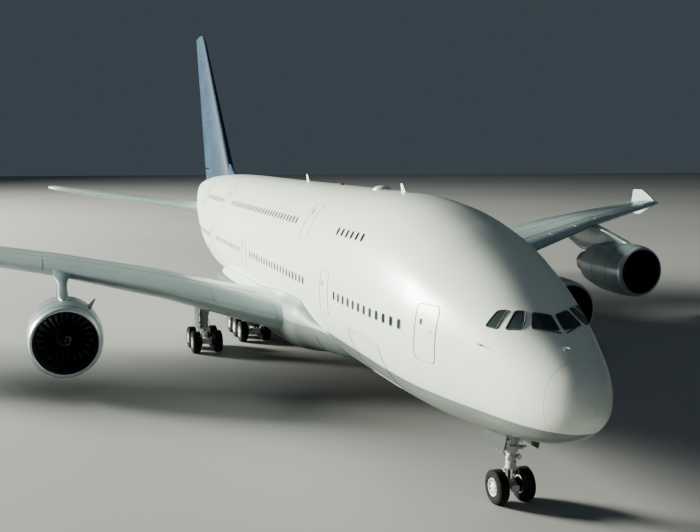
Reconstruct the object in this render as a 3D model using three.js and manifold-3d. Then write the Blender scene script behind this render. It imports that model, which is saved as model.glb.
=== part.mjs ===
// A four-engined airliner with two full-length passenger decks, parked on its gear.
// It is a 1:2 model: the tables below hold the full-size airliner in metres, and MM brings
// one of those metres to 500 mm. x goes out to port, s runs aft from the nose tip and z up
// from the ground. In the model the nose points along -Y and the ground is Z = 0.
import * as THREE from 'three';
import { mergeVertices } from 'three/addons/utils/BufferGeometryUtils.js';
import Module from 'manifold-3d';

const wasm = await Module();
wasm.setup();

const MM = 500;
const LENGTH = 72.72;
const SEAT_GAP = 0.3 / MM;
const RUN_GAP = 7 / MM;
const ALONG = new THREE.Vector3(0, 1, 0);
const DOWN = new THREE.Vector3(0, 0, -1);

// Hull
const HULL_SIDES = 36;
const HULL_TOP_POWER = 2.3;
const HULL_BOTTOM_POWER = 2.05;
const NOSE_TIP_Z = 4.7;
const RADOME_SEAM = 1.0;
const WING_FRAME = 21.6;
const REAR_FRAME = 42;
const TAIL_FRAME = 62;
// Columns: s, half width, bottom z, top z, z of the widest point
const HULL = [
  [0.06, 0.3, 4.44, 5.03, 4.71],
  [0.25, 0.6, 4.18, 5.44, 4.72],
  [0.55, 0.93, 3.86, 5.8, 4.76],
  [RADOME_SEAM, 1.26, 3.56, 6.16, 4.81],
  [2, 1.74, 3.15, 6.84, 4.94],
  [3, 2.08, 2.93, 7.54, 5.14],
  [4, 2.38, 2.77, 8.14, 5.35],
  [6, 2.92, 2.55, 9.07, 5.6],
  [8, 3.3, 2.42, 9.8, 5.75],
  [11, 3.52, 2.35, 10.47, 5.88],
  [14, 3.57, 2.35, 10.72, 5.92],
  [18, 3.57, 2.35, 10.76, 5.92],
  [WING_FRAME, 3.57, 2.35, 10.76, 5.92],
  [REAR_FRAME, 3.57, 2.35, 10.76, 5.92],
  [46, 3.52, 2.5, 10.76, 5.98],
  [50, 3.35, 2.95, 10.72, 6.2],
  [54, 3.02, 3.7, 10.62, 6.6],
  [58, 2.55, 4.6, 10.45, 7.1],
  [TAIL_FRAME, 1.95, 5.65, 10.18, 7.7],
  [66, 1.25, 6.75, 9.8, 8.2],
  [69, 0.65, 7.6, 9.45, 8.5],
  [70.6, 0.4, 8.2, 9.1, 8.65],
];

// Belly fairing. Columns: s, half width, bottom z, top z, z of the widest point
const FAIRING_SIDES = 28;
const FAIRING = [
  [15.8, 2.0, 2.75, 3.6, 3.3],
  [16.8, 2.72, 2.62, 4.2, 3.75],
  [17.8, 3.12, 2.56, 4.5, 3.92],
  [18.8, 3.42, 2.5, 4.75, 3.97],
  [19.7, 3.7, 2.42, 5.3, 3.97],
  [20.6, 3.98, 2.26, 5.75, 3.95],
  [21.8, 4.05, 2.04, 5.75, 3.9],
  [25.5, 4.05, 1.75, 5.45, 3.8],
  [30, 4.05, 1.75, 4.85, 3.6],
  [39.5, 4.0, 1.75, 4.6, 3.5],
  [43, 3.6, 1.9, 4.4, 3.3],
  [46, 2.6, 2.2, 3.9, 3.1],
  [48, 1.4, 2.55, 3.5, 3.0],
];

// Windscreen band: it wraps the nose between two levels and ends behind the third pane
const GLASS_BOTTOM = 6.86;
const GLASS_TOP = 7.4;
const GLASS_END = 3.64;
const GLASS_DEPTH = 0.06;

// Nose gear bay and its forward doors
const BAY = { half: 0.72, front: 1.9, back: 5.95, roof: 3.9 };
// The door hinge is a straight line that drops below the curved skin at the door's ends
const BAY_DOOR = { front: 1.95, back: 4.15, depth: 0.06, drop: 0.043 };

// Cargo doors on the starboard side, hinged at the top. Columns: name, front s, rear s
const CARGO_DOORS = [
  ['forward_cargo_door', 9.95, 13.05],
  ['aft_cargo_door', 48.4, 51.2],
];
const CARGO_BOTTOM = 3.3;
const CARGO_TOP = 4.95;
const CARGO_DEPTH = 0.12;
const CARGO_GAP = 12 / MM;

// Lifting surfaces. Columns: station (x of a wing, z of the fin), s of the leading edge,
// chord, height of the chord line at the twist axis, thickness as a share of chord, twist
const TWIST_AXIS = 0.4;
const CHORD_POINTS = [0.012, 0.05, 0.13, 0.27, 0.45, 0.64, 0.82, 1];
const WING = {
  hand: 1,
  camber: 0.012,
  rows: [
    [2.8, 20.9, 18.6, 3.2, 0.12, 4.4],
    [5.2, 22.85, 17.0, 3.68, 0.112, 4.1],
    [9.5, 26.2, 14.2, 4.68, 0.108, 3.5],
    [14.9, 30.4, 11.0, 5.62, 0.108, 2.0],
    [26, 38.45, 7.8, 6.9, 0.1, 0.8],
    [39.72, 48.4, 4.0, 7.85, 0.095, 0],
  ],
};
const TAILPLANE = {
  hand: 1,
  camber: 0,
  rows: [
    [0.9, 57.75, 10.9, 7.3, 0.1, 0],
    [2.4, 59.1, 10.2, 7.43, 0.1, 0],
    [14.6, 68.05, 4.4, 9.03, 0.095, 0],
    [15.19, 69.1, 3.3, 9.08, 0.07, 0],
  ],
};
const FIN = {
  upright: true,
  camber: 0,
  rows: [
    [8.9, 53.2, 14.5, 0, 0.1, 0],
    [10.6, 54.9, 13.4, 0, 0.1, 0],
    [23.3, 67.45, 4.98, 0, 0.1, 0],
    [24.09, 68.7, 4.02, 0, 0.07, 0],
  ],
};
const FENCE = { x: 39.635, thick: 0.24, height: 1.2 };

// Trailing-edge surfaces: first and last station, and the share of chord where each starts
const INNER_FLAP = { from: 4.45, to: 14.6, hinge: 0.81 };
const OUTER_FLAP = { from: 15.0, to: 26.6, hinge: 0.75 };
const AILERON = { from: 27.6, to: 37.4, hinge: 0.76 };
const ELEVATOR = { from: 2.9, to: 14.4, hinge: 0.7 };
const LOWER_RUDDER = { from: 11.0, to: 17.2, hinge: 0.66, levelFoot: true };
const UPPER_RUDDER = { from: 17.25, to: 23.2, hinge: 0.66 };
// A swinging surface ends square to its hinge line, so that its end gaps stay as it swings.
// The lower rudder's foot is level instead, with a deeper gap over the fin's own foot
const FOOT_GAP = 0.14;
const PANEL_REACH = 2;
const PIN_RADIUS = 0.04;
const PIN_LENGTH = 0.25;
const BRACKET_REACH = 0.3;

// Engines. Columns: number, x, s of the intake lip, z of the shaft
const ENGINES = [
  [1, 25.7, 32.0, 3.9],
  [2, 14.82, 24.4, 2.84],
  [3, -14.82, 24.4, 2.84],
  [4, -25.7, 32.0, 3.9],
];
const ENGINE_SIDES = 24;
const SPINNER_SIDES = 12;
// Columns: radius, distance behind the lip. The outside goes aft and the duct comes back
const NACELLE_OUTSIDE = [
  [1.68, 0],
  [1.78, 0.1],
  [1.88, 0.5],
  [1.96, 1.5],
  [1.93, 3.1],
  [1.76, 4.6],
  [1.56, 5.6],
];
const NACELLE_DUCT = [
  [1.5, 5.6],
  [1.53, 4.2],
  [1.51, 1.3],
  [1.5, 0.6],
];
const FAN = { radius: 1.47, front: 1.55, depth: 0.34, blades: 24, hub: 0.48, nose: 0.85 };
const CORE = [
  [0, FAN.front + FAN.depth + SEAT_GAP],
  [0.6, FAN.front + FAN.depth + SEAT_GAP],
  [0.9, 3.0],
  [1.1, 4.9],
  [0.98, 6.3],
  [0.8, 7.3],
  [0.52, 7.35],
  [0.3, 8.1],
  [0, 8.5],
];
// Pylon side view from the lip and the shaft. Columns: distance aft, height
const PYLON_THICK = 0.5;
const INNER_PYLON = [
  [1.7, 1.8],
  [2.4, 2.12],
  [6.2, 2.9],
  [7.5, 3.2],
  [12.2, 2.6],
  [12.2, 1.95],
  [7.6, 0.75],
  [5.2, 0.95],
  [4.2, 1.5],
];
const OUTER_PYLON = [
  [1.7, 1.8],
  [2.4, 2.12],
  [6.0, 2.9],
  [7.5, 3.2],
  [11.0, 2.95],
  [11.0, 2.3],
  [7.6, 0.9],
  [5.2, 0.95],
  [4.2, 1.5],
];

// Wheels
const WHEEL_SIDES = 14;
const MAIN_WHEEL = { radius: 0.7, width: 0.53, rim: 0.3, axle: 0.1 };
const NOSE_WHEEL = { radius: 0.635, width: 0.455, rim: 0.27, axle: 0.08 };
const TREAD_BEVEL = 0.09;
const HUB_DISH = 0.07;
const FLAT_SHARE = Math.cos(Math.PI / WHEEL_SIDES);
const MAIN_AXLE_Z = MAIN_WHEEL.radius * FLAT_SHARE;
const NOSE_AXLE_Z = NOSE_WHEEL.radius * FLAT_SHARE;
const AXLE_PITCH = 1.7;

// Gear
const NOSE_GEAR = { s: 5.1, track: 1.05, collar: 1.42 };
const WING_GEAR = { x: 6.23, s: 33.6, track: 1.35, axles: 2, top: 4.4 };
const BODY_GEAR = { x: 2.63, s: 36.9, track: 1.53, axles: 3, top: 2.6 };

// Jack pads: half size, and the x, s and z of each pad's flat underside
const PAD_HALF = 0.12;
const NOSE_PAD = [0, 9.5, 2.33];
const WING_PAD = [9.5, 33.5, 3.94];

// Paint
const WHITE = paint(0xe9ece6, 0.3, 0);
const GREY = paint(0xb3b8b6, 0.35, 0);
const BLUE = paint(0x16264f, 0.35, 0);
const WING_GREY = paint(0xa9b1b3, 0.4, 0.1);
const SILVER = paint(0x93a3ad, 0.35, 0.4);
const BARE_METAL = paint(0x8d8a84, 0.35, 0.9);
const STEEL = paint(0xa7abad, 0.4, 0.7);
const RUBBER = paint(0x141516, 0.85, 0);
const GLASS = paint(0x0c1014, 0.1, 0);

function paint(color, roughness, metalness) {
  return () => new THREE.MeshStandardMaterial({ color, roughness, metalness });
}

// Points and solids
function at(x, s, z) {
  return new THREE.Vector3(x * MM, (s - LENGTH / 2) * MM, z * MM);
}

function solidOf(geometry) {
  const bare = geometry.clone();
  bare.deleteAttribute('normal');
  bare.deleteAttribute('uv');
  const merged = mergeVertices(bare, 1e-3);
  const corners = merged.index.array;
  const faces = [];
  for (let i = 0; i < corners.length; i += 3) {
    const face = [corners[i], corners[i + 1], corners[i + 2]];
    if (new Set(face).size === 3) faces.push(face);
  }
  return closedSolid(merged.attributes.position.array, faces);
}

function closedSolid(positions, faces) {
  const build = (triangles) => new wasm.Manifold(new wasm.Mesh({
    numProp: 3,
    vertProperties: Float32Array.from(positions),
    triVerts: Uint32Array.from(triangles.flat()),
  }));
  const solid = build(faces);
  return solid.volume() > 0 ? solid : build(faces.map(([a, b, c]) => [a, c, b]));
}

// A closed skin through sections of equal point count; a section of one point is a tip.
// The diagonals of the two halves mirror each other, so that port and starboard match
function loft(sections) {
  const count = Math.max(...sections.map((section) => section.length));
  const starts = [];
  const points = [];
  for (const section of sections) {
    starts.push(points.length);
    points.push(...section);
  }
  const corner = (k, i) => starts[k] + (sections[k].length === 1 ? 0 : i % count);
  const faces = [];
  for (let k = 0; k + 1 < sections.length; k += 1) {
    for (let i = 0; i < count; i += 1) {
      const near = [corner(k, i), corner(k, i + 1)];
      const far = [corner(k + 1, i), corner(k + 1, i + 1)];
      const half = i < count / 2 ? 1 : 0;
      if (near[0] !== near[1]) faces.push([near[0], near[1], far[half]]);
      if (far[0] !== far[1]) faces.push([near[1 - half], far[1], far[0]]);
    }
  }
  const last = sections.length - 1;
  if (sections[0].length > 1) faces.push(...cap(count, starts[0]).map(([a, b, c]) => [a, c, b]));
  if (sections[last].length > 1) faces.push(...cap(count, starts[last]));
  return closedSolid(points.flatMap((point) => point.toArray()), faces);
}

// Triangles across a section, in strips between its two sides
function cap(count, start) {
  const faces = [];
  for (let i = 0; i < count - i - 1; i += 1) {
    const other = count - i - 1;
    if (i + 1 < other) faces.push([start + i, start + i + 1, start + other]);
    if (i > 0) faces.push([start + i, start + other, start + other + 1]);
  }
  return faces;
}

function block(x0, x1, s0, s1, z0, z1) {
  const low = at(x0, s0, z0);
  const high = at(x1, s1, z1);
  const size = new THREE.Vector3().subVectors(high, low);
  const centre = new THREE.Vector3().addVectors(high, low).multiplyScalar(0.5);
  const geometry = new THREE.BoxGeometry(Math.abs(size.x), Math.abs(size.y), Math.abs(size.z));
  return solidOf(geometry.translate(...centre.toArray()));
}

function rodBetween(start, end, radius, sides) {
  const way = new THREE.Vector3().subVectors(end, start);
  const geometry = new THREE.CylinderGeometry(radius, radius, way.length(), sides);
  const turn = new THREE.Quaternion().setFromUnitVectors(ALONG, way.normalize());
  const centre = start.clone().lerp(end, 0.5);
  return solidOf(geometry.applyQuaternion(turn).translate(...centre.toArray()));
}

function rod(from, to, radius, sides) {
  return rodBetween(at(...from), at(...to), radius * MM, sides);
}

function jackPad([x, s, z]) {
  return block(x - PAD_HALF, x + PAD_HALF, s - PAD_HALF, s + PAD_HALF, z, z + 0.3);
}

function join(solids) {
  return solids.reduce((whole, solid) => whole.add(solid));
}

function largest(solid) {
  return solid.decompose().sort((a, b) => b.volume() - a.volume())[0];
}

function mirrored(solid) {
  return solid.mirror([1, 0, 0]);
}

function moved(solid, x, s, z) {
  return solid.translate([x * MM, s * MM, z * MM]);
}

function rowAt(table, station) {
  let k = 0;
  while (k < table.length - 2 && station > table[k + 1][0]) k += 1;
  const share = (station - table[k][0]) / (table[k + 1][0] - table[k][0]);
  return table[k].map((value, i) => value + share * (table[k + 1][i] - value));
}

const plane = new THREE.Group();

function addMesh(name, solid, makePaint, place = [0, LENGTH / 2, 0]) {
  const { vertProperties, triVerts } = solid.getMesh();
  const geometry = new THREE.BufferGeometry();
  geometry.setAttribute('position', new THREE.BufferAttribute(vertProperties, 3));
  geometry.setIndex(new THREE.BufferAttribute(triVerts, 1));
  geometry.computeVertexNormals();
  const mesh = new THREE.Mesh(geometry, makePaint());
  mesh.name = name;
  mesh.position.copy(at(...place));
  plane.add(mesh);
}

// Hull sections: each is two half super-ellipses, one above and one below the widest point
function roundSection(row, grow, sides, topPower, bottomPower) {
  const [s, half, bottom, top, wide] = row;
  const points = [];
  for (let i = 0; i < sides; i += 1) {
    const angle = Math.PI / 2 - (2 * Math.PI * i) / sides;
    const [cos, sin] = [Math.cos(angle), Math.sin(angle)];
    const power = 2 / (sin > 0 ? topPower : bottomPower);
    const rise = (sin > 0 ? top - wide : wide - bottom) + grow;
    const out = Math.sign(cos) * Math.abs(cos) ** power * (half + grow);
    points.push(at(out, s, wide + Math.sign(sin) * Math.abs(sin) ** power * rise));
  }
  return points;
}

function hullPart(from, to, grow = 0) {
  const rows = HULL.filter(([s]) => s > from && s < to);
  if (from > 0) rows.unshift([...rowAt(HULL, from)]);
  rows.push([...rowAt(HULL, to)]);
  const sections = rows.map((row) => (
    roundSection(row, grow, HULL_SIDES, HULL_TOP_POWER, HULL_BOTTOM_POWER)));
  if (from <= 0) sections.unshift([at(0, -grow, NOSE_TIP_Z)]);
  return loft(sections);
}

function fairing(grow = 0) {
  return loft(FAIRING.map((row) => roundSection(row, grow, FAIRING_SIDES, 2.6, 2.9)));
}

const hullClear = hullPart(0, 70.6, SEAT_GAP);

function makeForwardFuselage() {
  const inside = hullPart(0.5, WING_FRAME, -GLASS_DEPTH);
  const band = block(-3, 3, 1.2, GLASS_END, GLASS_BOTTOM, GLASS_TOP);
  const whole = hullPart(RADOME_SEAM + SEAT_GAP, WING_FRAME);
  const glass = whole.intersect(band).subtract(inside);
  const seat = SEAT_GAP;
  const bandCut = block(-3, 3, 1.2, GLASS_END + seat, GLASS_BOTTOM - seat, GLASS_TOP + seat);
  const bandRecess = bandCut.subtract(hullPart(0.5, WING_FRAME, -GLASS_DEPTH - seat));
  const bay = block(-BAY.half, BAY.half, BAY.front, BAY.back, 2, BAY.roof);
  addMesh('flight_deck_glazing', largest(glass), GLASS);
  return whole.subtract(bandRecess).subtract(bay).add(jackPad(NOSE_PAD));
}

function cargoDoor(name, front, back, hull) {
  const box = block(-4, -1.5, front, back, CARGO_BOTTOM, CARGO_TOP);
  const edge = CARGO_GAP;
  const hole = block(-4, -1.5, front - edge, back + edge, CARGO_BOTTOM - edge, CARGO_TOP + edge);
  const panel = hull.intersect(box).subtract(hullPart(5, TAIL_FRAME, -CARGO_DEPTH));
  addMesh(name, largest(panel), WHITE);
  return hull.subtract(hole.subtract(hullPart(5, TAIL_FRAME, -CARGO_DEPTH - SEAT_GAP)));
}

function makeHull() {
  addMesh('nose_radome', hullPart(0, RADOME_SEAM), WHITE);
  const forward = cargoDoor(...CARGO_DOORS[0], makeForwardFuselage());
  addMesh('forward_fuselage', forward, WHITE);
  addMesh('centre_fuselage', hullPart(WING_FRAME + SEAT_GAP, REAR_FRAME), WHITE);
  const rear = cargoDoor(...CARGO_DOORS[1], hullPart(REAR_FRAME + SEAT_GAP, TAIL_FRAME));
  addMesh('rear_fuselage', rear, WHITE);
  addMesh('tail_cone', hullPart(TAIL_FRAME + SEAT_GAP, 70.6), WHITE);
  addMesh('belly_fairing', largest(fairing().subtract(hullClear)), GREY);
}

// Lifting surfaces
function halfThickness(f, thick) {
  const curve = 0.2969 * Math.sqrt(f) - 0.126 * f - 0.3516 * f ** 2;
  return 5 * thick * (curve + 0.2843 * f ** 3 - 0.1021 * f ** 4);
}

function camberAt(panel, f) {
  return panel.camber * 4 * f * (1 - f);
}

// The point at a station, a share f of the chord and a height off the chord line, in chords
function panelPoint(panel, station, f, height) {
  const [, lead, chord, base, , twist] = rowAt(panel.rows, station);
  const turn = THREE.MathUtils.degToRad(twist);
  const back = (f - TWIST_AXIS) * chord;
  const s = lead + TWIST_AXIS * chord + back * Math.cos(turn) + height * chord * Math.sin(turn);
  const rise = base - back * Math.sin(turn) + height * chord * Math.cos(turn);
  return panel.upright ? at(rise, s, station) : at(panel.hand * station, s, rise);
}

function skinPoint(panel, station, f, side) {
  const thick = rowAt(panel.rows, station)[4];
  const height = camberAt(panel, f) + side * halfThickness(f, thick);
  return panelPoint(panel, station, f, height);
}

function panelSection(panel, station) {
  const upper = CHORD_POINTS.map((f) => skinPoint(panel, station, f, 1));
  const lower = CHORD_POINTS.map((f) => skinPoint(panel, station, f, -1)).reverse();
  return [skinPoint(panel, station, 0, 1), ...upper, ...lower];
}

function panelSolid(panel) {
  return loft(panel.rows.map(([station]) => panelSection(panel, station)));
}

function stationsOf(panel, from, to) {
  const inner = panel.rows.map(([station]) => station);
  return [from, ...inner.filter((station) => station > from && station < to), to];
}

// A swinging surface's section, with its nose rounded about the hinge line
function surfaceSection(panel, station, hinge) {
  const radius = halfThickness(hinge, rowAt(panel.rows, station)[4]);
  const middle = (1 + hinge) / 2;
  const nose = (angle, side) => panelPoint(panel, station, hinge - radius * Math.cos(angle),
    camberAt(panel, hinge) + side * radius * Math.sin(angle));
  const upper = [hinge, middle, 1].map((f) => skinPoint(panel, station, f, 1));
  const lower = [1, middle, hinge].map((f) => skinPoint(panel, station, f, -1));
  const slope = Math.PI / 4;
  return [nose(0, 1), nose(slope, 1), ...upper, ...lower, nose(slope, -1)];
}

// A block with upright sides behind a share of the chord, out past the trailing edge
function chordBlock(panel, from, to, frontAt) {
  return loft(stationsOf(panel, from, to).map((station) => {
    const [, lead, chord, base] = rowAt(panel.rows, station);
    const corner = (f, level) => (panel.upright
      ? at(level, lead + f * chord, station)
      : at(station, lead + f * chord, base + level));
    const front = frontAt(station, chord);
    const reach = PANEL_REACH;
    return [corner(front, reach), corner(1.3, reach), corner(1.3, -reach), corner(front, -reach)];
  }));
}

// A flap keeps the panel's own section and lies in its place behind the rear spar
function fixedSurface(panel, whole, { from, to, hinge }) {
  return whole.intersect(chordBlock(panel, from, to, () => hinge));
}

function fixedSpace(panel, { from, to, hinge }) {
  const front = (station, chord) => hinge - SEAT_GAP / chord;
  return chordBlock(panel, from - SEAT_GAP, to + SEAT_GAP, front);
}

// The hinge line: its first and last point, and the way from one to the other
function hingeLine(panel, { from, to, hinge }) {
  const [start, end] = [from, to].map((station) => (
    panelPoint(panel, station, hinge, camberAt(panel, hinge))));
  return { start, end, way: new THREE.Vector3().subVectors(end, start).normalize() };
}

// Trims what reaches past the two ends of a hinge line, each grown by a gap
function betweenEnds(solid, { start, end, way }, gap, levelFoot) {
  const top = solid.trimByPlane(way.clone().negate().toArray(), -end.dot(way) - gap * MM);
  return levelFoot ? top : top.trimByPlane(way.toArray(), start.dot(way) - gap * MM);
}

function swingStations(panel, { from, to, hinge, levelFoot }, footGap) {
  const [, , chord] = rowAt(panel.rows, from);
  const spare = (1 - hinge) * chord * 0.6;
  return stationsOf(panel, levelFoot ? from - footGap : from - spare, to + spare * 0.1);
}

function swingSpace(panel, surface) {
  const { hinge, levelFoot } = surface;
  const front = (station, chord) => (
    hinge - halfThickness(hinge, rowAt(panel.rows, station)[4]) - RUN_GAP / chord);
  const stations = swingStations(panel, surface, FOOT_GAP);
  const space = chordBlock(panel, stations[0], stations[stations.length - 1], front);
  return betweenEnds(space, hingeLine(panel, surface), RUN_GAP, levelFoot);
}

// Between two surfaces only a bracket of the panel stays, which reaches just past the hinge
function behindBracket(panel, lower, upper) {
  const [start, end] = [hingeLine(panel, lower).end, hingeLine(panel, upper).start];
  const way = hingeLine(panel, lower).way;
  const front = (station, chord) => lower.hinge + BRACKET_REACH / chord;
  const spare = (1 - lower.hinge) * rowAt(panel.rows, lower.to)[2];
  const space = chordBlock(panel, lower.to - spare, upper.from + spare, front);
  return betweenEnds(space, { start, end, way }, RUN_GAP, false);
}

// A pin on the hinge line, which reaches from the surface to the rib beside its first end
function hingePin({ start, way }, levelFoot) {
  const radius = PIN_RADIUS * MM;
  const outward = levelFoot ? new THREE.Vector3(0, 0, -1) : way.clone().negate();
  const gap = (levelFoot ? FOOT_GAP : RUN_GAP) * MM;
  const reach = (gap - SEAT_GAP * MM - radius) / -way.dot(outward);
  const centre = start.clone().addScaledVector(way, -reach);
  const tip = new THREE.OctahedronGeometry(radius);
  tip.applyQuaternion(new THREE.Quaternion().setFromUnitVectors(DOWN, outward));
  const root = start.clone().addScaledVector(way, PIN_LENGTH * MM);
  return solidOf(tip.translate(...centre.toArray())).add(rodBetween(centre, root, radius * 0.6, 6));
}

function hingeKnuckle(from, to) {
  return rodBetween(from, to, (RUN_GAP - SEAT_GAP) * MM, 12);
}

function swingingSurface(panel, surface) {
  const line = hingeLine(panel, surface);
  const stations = swingStations(panel, surface, 0);
  const blade = loft(stations.map((station) => surfaceSection(panel, station, surface.hinge)));
  return betweenEnds(blade, line, 0, surface.levelFoot).add(hingePin(line, surface.levelFoot));
}

function fence() {
  const [, lead, chord] = WING.rows[WING.rows.length - 1];
  const base = WING.rows[WING.rows.length - 1][3];
  const outline = [
    [lead + 0.3, 0],
    [lead + 2.5, FENCE.height],
    [lead + 3.9, FENCE.height],
    [lead + chord + 0.1, 0],
    [lead + 3.7, -FENCE.height],
    [lead + 2.7, -FENCE.height],
  ];
  const ring = (x, share) => outline.map(([s, z]) => {
    const middle = lead + 2.4;
    return at(x, middle + (s - middle) * share, base + z * share);
  });
  return loft([ring(FENCE.x, 1), ring(FENCE.x + FENCE.thick / 2, 1), ring(FENCE.x + FENCE.thick, 0.97)]);
}

const wingWhole = panelSolid(WING);

function addBothSides(name, solid, makePaint) {
  addMesh(`${name}_left`, solid, makePaint);
  addMesh(`${name}_right`, mirrored(solid), makePaint);
}

function makeWings() {
  const spaces = [
    fixedSpace(WING, INNER_FLAP),
    fixedSpace(WING, OUTER_FLAP),
    swingSpace(WING, AILERON),
  ];
  const root = join([hullClear, fairing(SEAT_GAP)]);
  const box = wingWhole.subtract(root).subtract(join(spaces));
  const wing = largest(join([box, fence(), jackPad(WING_PAD)]));
  addBothSides('wing', wing, WING_GREY);
  const innerFlap = fixedSurface(WING, wingWhole, INNER_FLAP).subtract(root);
  addBothSides('inboard_flap', largest(innerFlap), WING_GREY);
  addBothSides('outboard_flap', fixedSurface(WING, wingWhole, OUTER_FLAP), WING_GREY);
  addBothSides('aileron', swingingSurface(WING, AILERON), WING_GREY);
}

function makeTail() {
  const tailplane = panelSolid(TAILPLANE).subtract(hullClear);
  addBothSides('tailplane', largest(tailplane.subtract(swingSpace(TAILPLANE, ELEVATOR))), WING_GREY);
  addBothSides('elevator', swingingSurface(TAILPLANE, ELEVATOR), WING_GREY);
  const rudderSpaces = [LOWER_RUDDER, UPPER_RUDDER].map((rudder) => swingSpace(FIN, rudder));
  const spaces = join([...rudderSpaces, behindBracket(FIN, LOWER_RUDDER, UPPER_RUDDER)]);
  const fin = panelSolid(FIN).subtract(hullClear).subtract(spaces);
  addMesh('fin', largest(fin), BLUE);
  addMesh('lower_rudder', swingingSurface(FIN, LOWER_RUDDER), BLUE);
  addMesh('upper_rudder', swingingSurface(FIN, UPPER_RUDDER), BLUE);
}

// Engines, with the shaft along Y and the lip at zero
function turned(profile, sides) {
  const points = profile.map(([radius, aft]) => new THREE.Vector2(radius * MM, aft * MM));
  return solidOf(new THREE.LatheGeometry(points, sides));
}

function fanWheel() {
  const { radius, front, depth, blades, hub, nose } = FAN;
  const outline = (aft, twist) => Array.from({ length: blades * 3 }, (_, i) => {
    const edge = [-0.28, 0.28, 0.5][i % 3];
    const reach = i % 3 < 2 ? radius : hub;
    const angle = ((Math.floor(i / 3) + edge) * 2 * Math.PI) / blades + twist;
    return new THREE.Vector3(reach * Math.cos(angle), aft, reach * Math.sin(angle));
  });
  const centre = (aft) => [new THREE.Vector3(0, aft, 0)];
  const rings = [centre(front), outline(front, 0), outline(front + depth, 0.1), centre(front + depth)];
  const bladeRing = loft(rings.map((ring) => ring.map((point) => point.multiplyScalar(MM))));
  const spinner = [
    [0, front - nose],
    [hub * 0.55, front - nose * 0.62],
    [hub, front],
    [hub, front + depth],
    [0, front + depth],
  ];
  return bladeRing.add(turned(spinner, SPINNER_SIDES));
}

function pylonSolid(outline, x, lip, z) {
  const shape = new THREE.Shape(outline.map(([aft, up]) => new THREE.Vector2(aft * MM, up * MM)));
  const geometry = new THREE.ExtrudeGeometry(shape, { depth: PYLON_THICK * MM, bevelEnabled: false });
  const basis = new THREE.Matrix4().makeBasis(
    new THREE.Vector3(0, 1, 0), new THREE.Vector3(0, 0, 1), new THREE.Vector3(1, 0, 0));
  geometry.applyMatrix4(basis);
  return solidOf(geometry.translate(...at(x - PYLON_THICK / 2, lip, z).toArray()));
}

function makeEngines() {
  const nacelle = turned([...NACELLE_OUTSIDE, ...NACELLE_DUCT, NACELLE_OUTSIDE[0]], ENGINE_SIDES);
  const grown = NACELLE_OUTSIDE.map(([radius, aft]) => [radius + SEAT_GAP, aft]);
  const filled = turned([[0, 0], ...grown, [0, 5.6]], ENGINE_SIDES);
  const coreGrown = CORE.map(([radius, aft]) => [radius && radius + SEAT_GAP, aft]);
  const engineSpace = filled.add(turned(coreGrown, ENGINE_SIDES));
  const fan = fanWheel();
  const core = turned(CORE, ENGINE_SIDES);
  for (const [number, x, lip, z] of ENGINES) {
    const place = [x, lip, z];
    addMesh(`nacelle_${number}`, nacelle, SILVER, place);
    addMesh(`fan_${number}`, fan, BARE_METAL, place);
    addMesh(`engine_core_${number}`, core, BARE_METAL, place);
    const outline = Math.abs(x) < 20 ? INNER_PYLON : OUTER_PYLON;
    const wing = x > 0 ? wingWhole : mirrored(wingWhole);
    const solid = pylonSolid(outline, x, lip, z)
      .subtract(engineSpace.translate(at(...place).toArray()))
      .subtract(moved(wing, 0, -SEAT_GAP, -SEAT_GAP));
    addMesh(`pylon_${number}`, largest(solid), SILVER);
  }
}

// Two tyres on one axle, turned about X
function wheelPair({ radius, width, rim, axle }, track) {
  const outer = track / 2 + width / 2;
  const inner = track / 2 - width / 2;
  const half = [
    [rim, outer - HUB_DISH],
    [radius - TREAD_BEVEL, outer],
    [radius, outer - TREAD_BEVEL],
    [radius, inner],
    [axle, inner],
  ];
  const other = half.map(([r, along]) => [r, -along]).reverse();
  const profile = [[0, outer - HUB_DISH], ...half, ...other, [0, HUB_DISH - outer]];
  const points = profile.map(([r, along]) => new THREE.Vector2(r * MM, along * MM));
  const turn = Math.PI / WHEEL_SIDES;
  const geometry = new THREE.LatheGeometry(points, WHEEL_SIDES, turn, 2 * Math.PI);
  return solidOf(geometry.rotateZ(Math.PI / 2));
}

// The bore that an axle turns in, with its flats over the axle's corners
function axleBore(x, s, z, half, axle) {
  const radius = (axle + SEAT_GAP) / FLAT_SHARE;
  return rod([x - half, s, z], [x + half, s, z], radius, WHEEL_SIDES);
}

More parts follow.
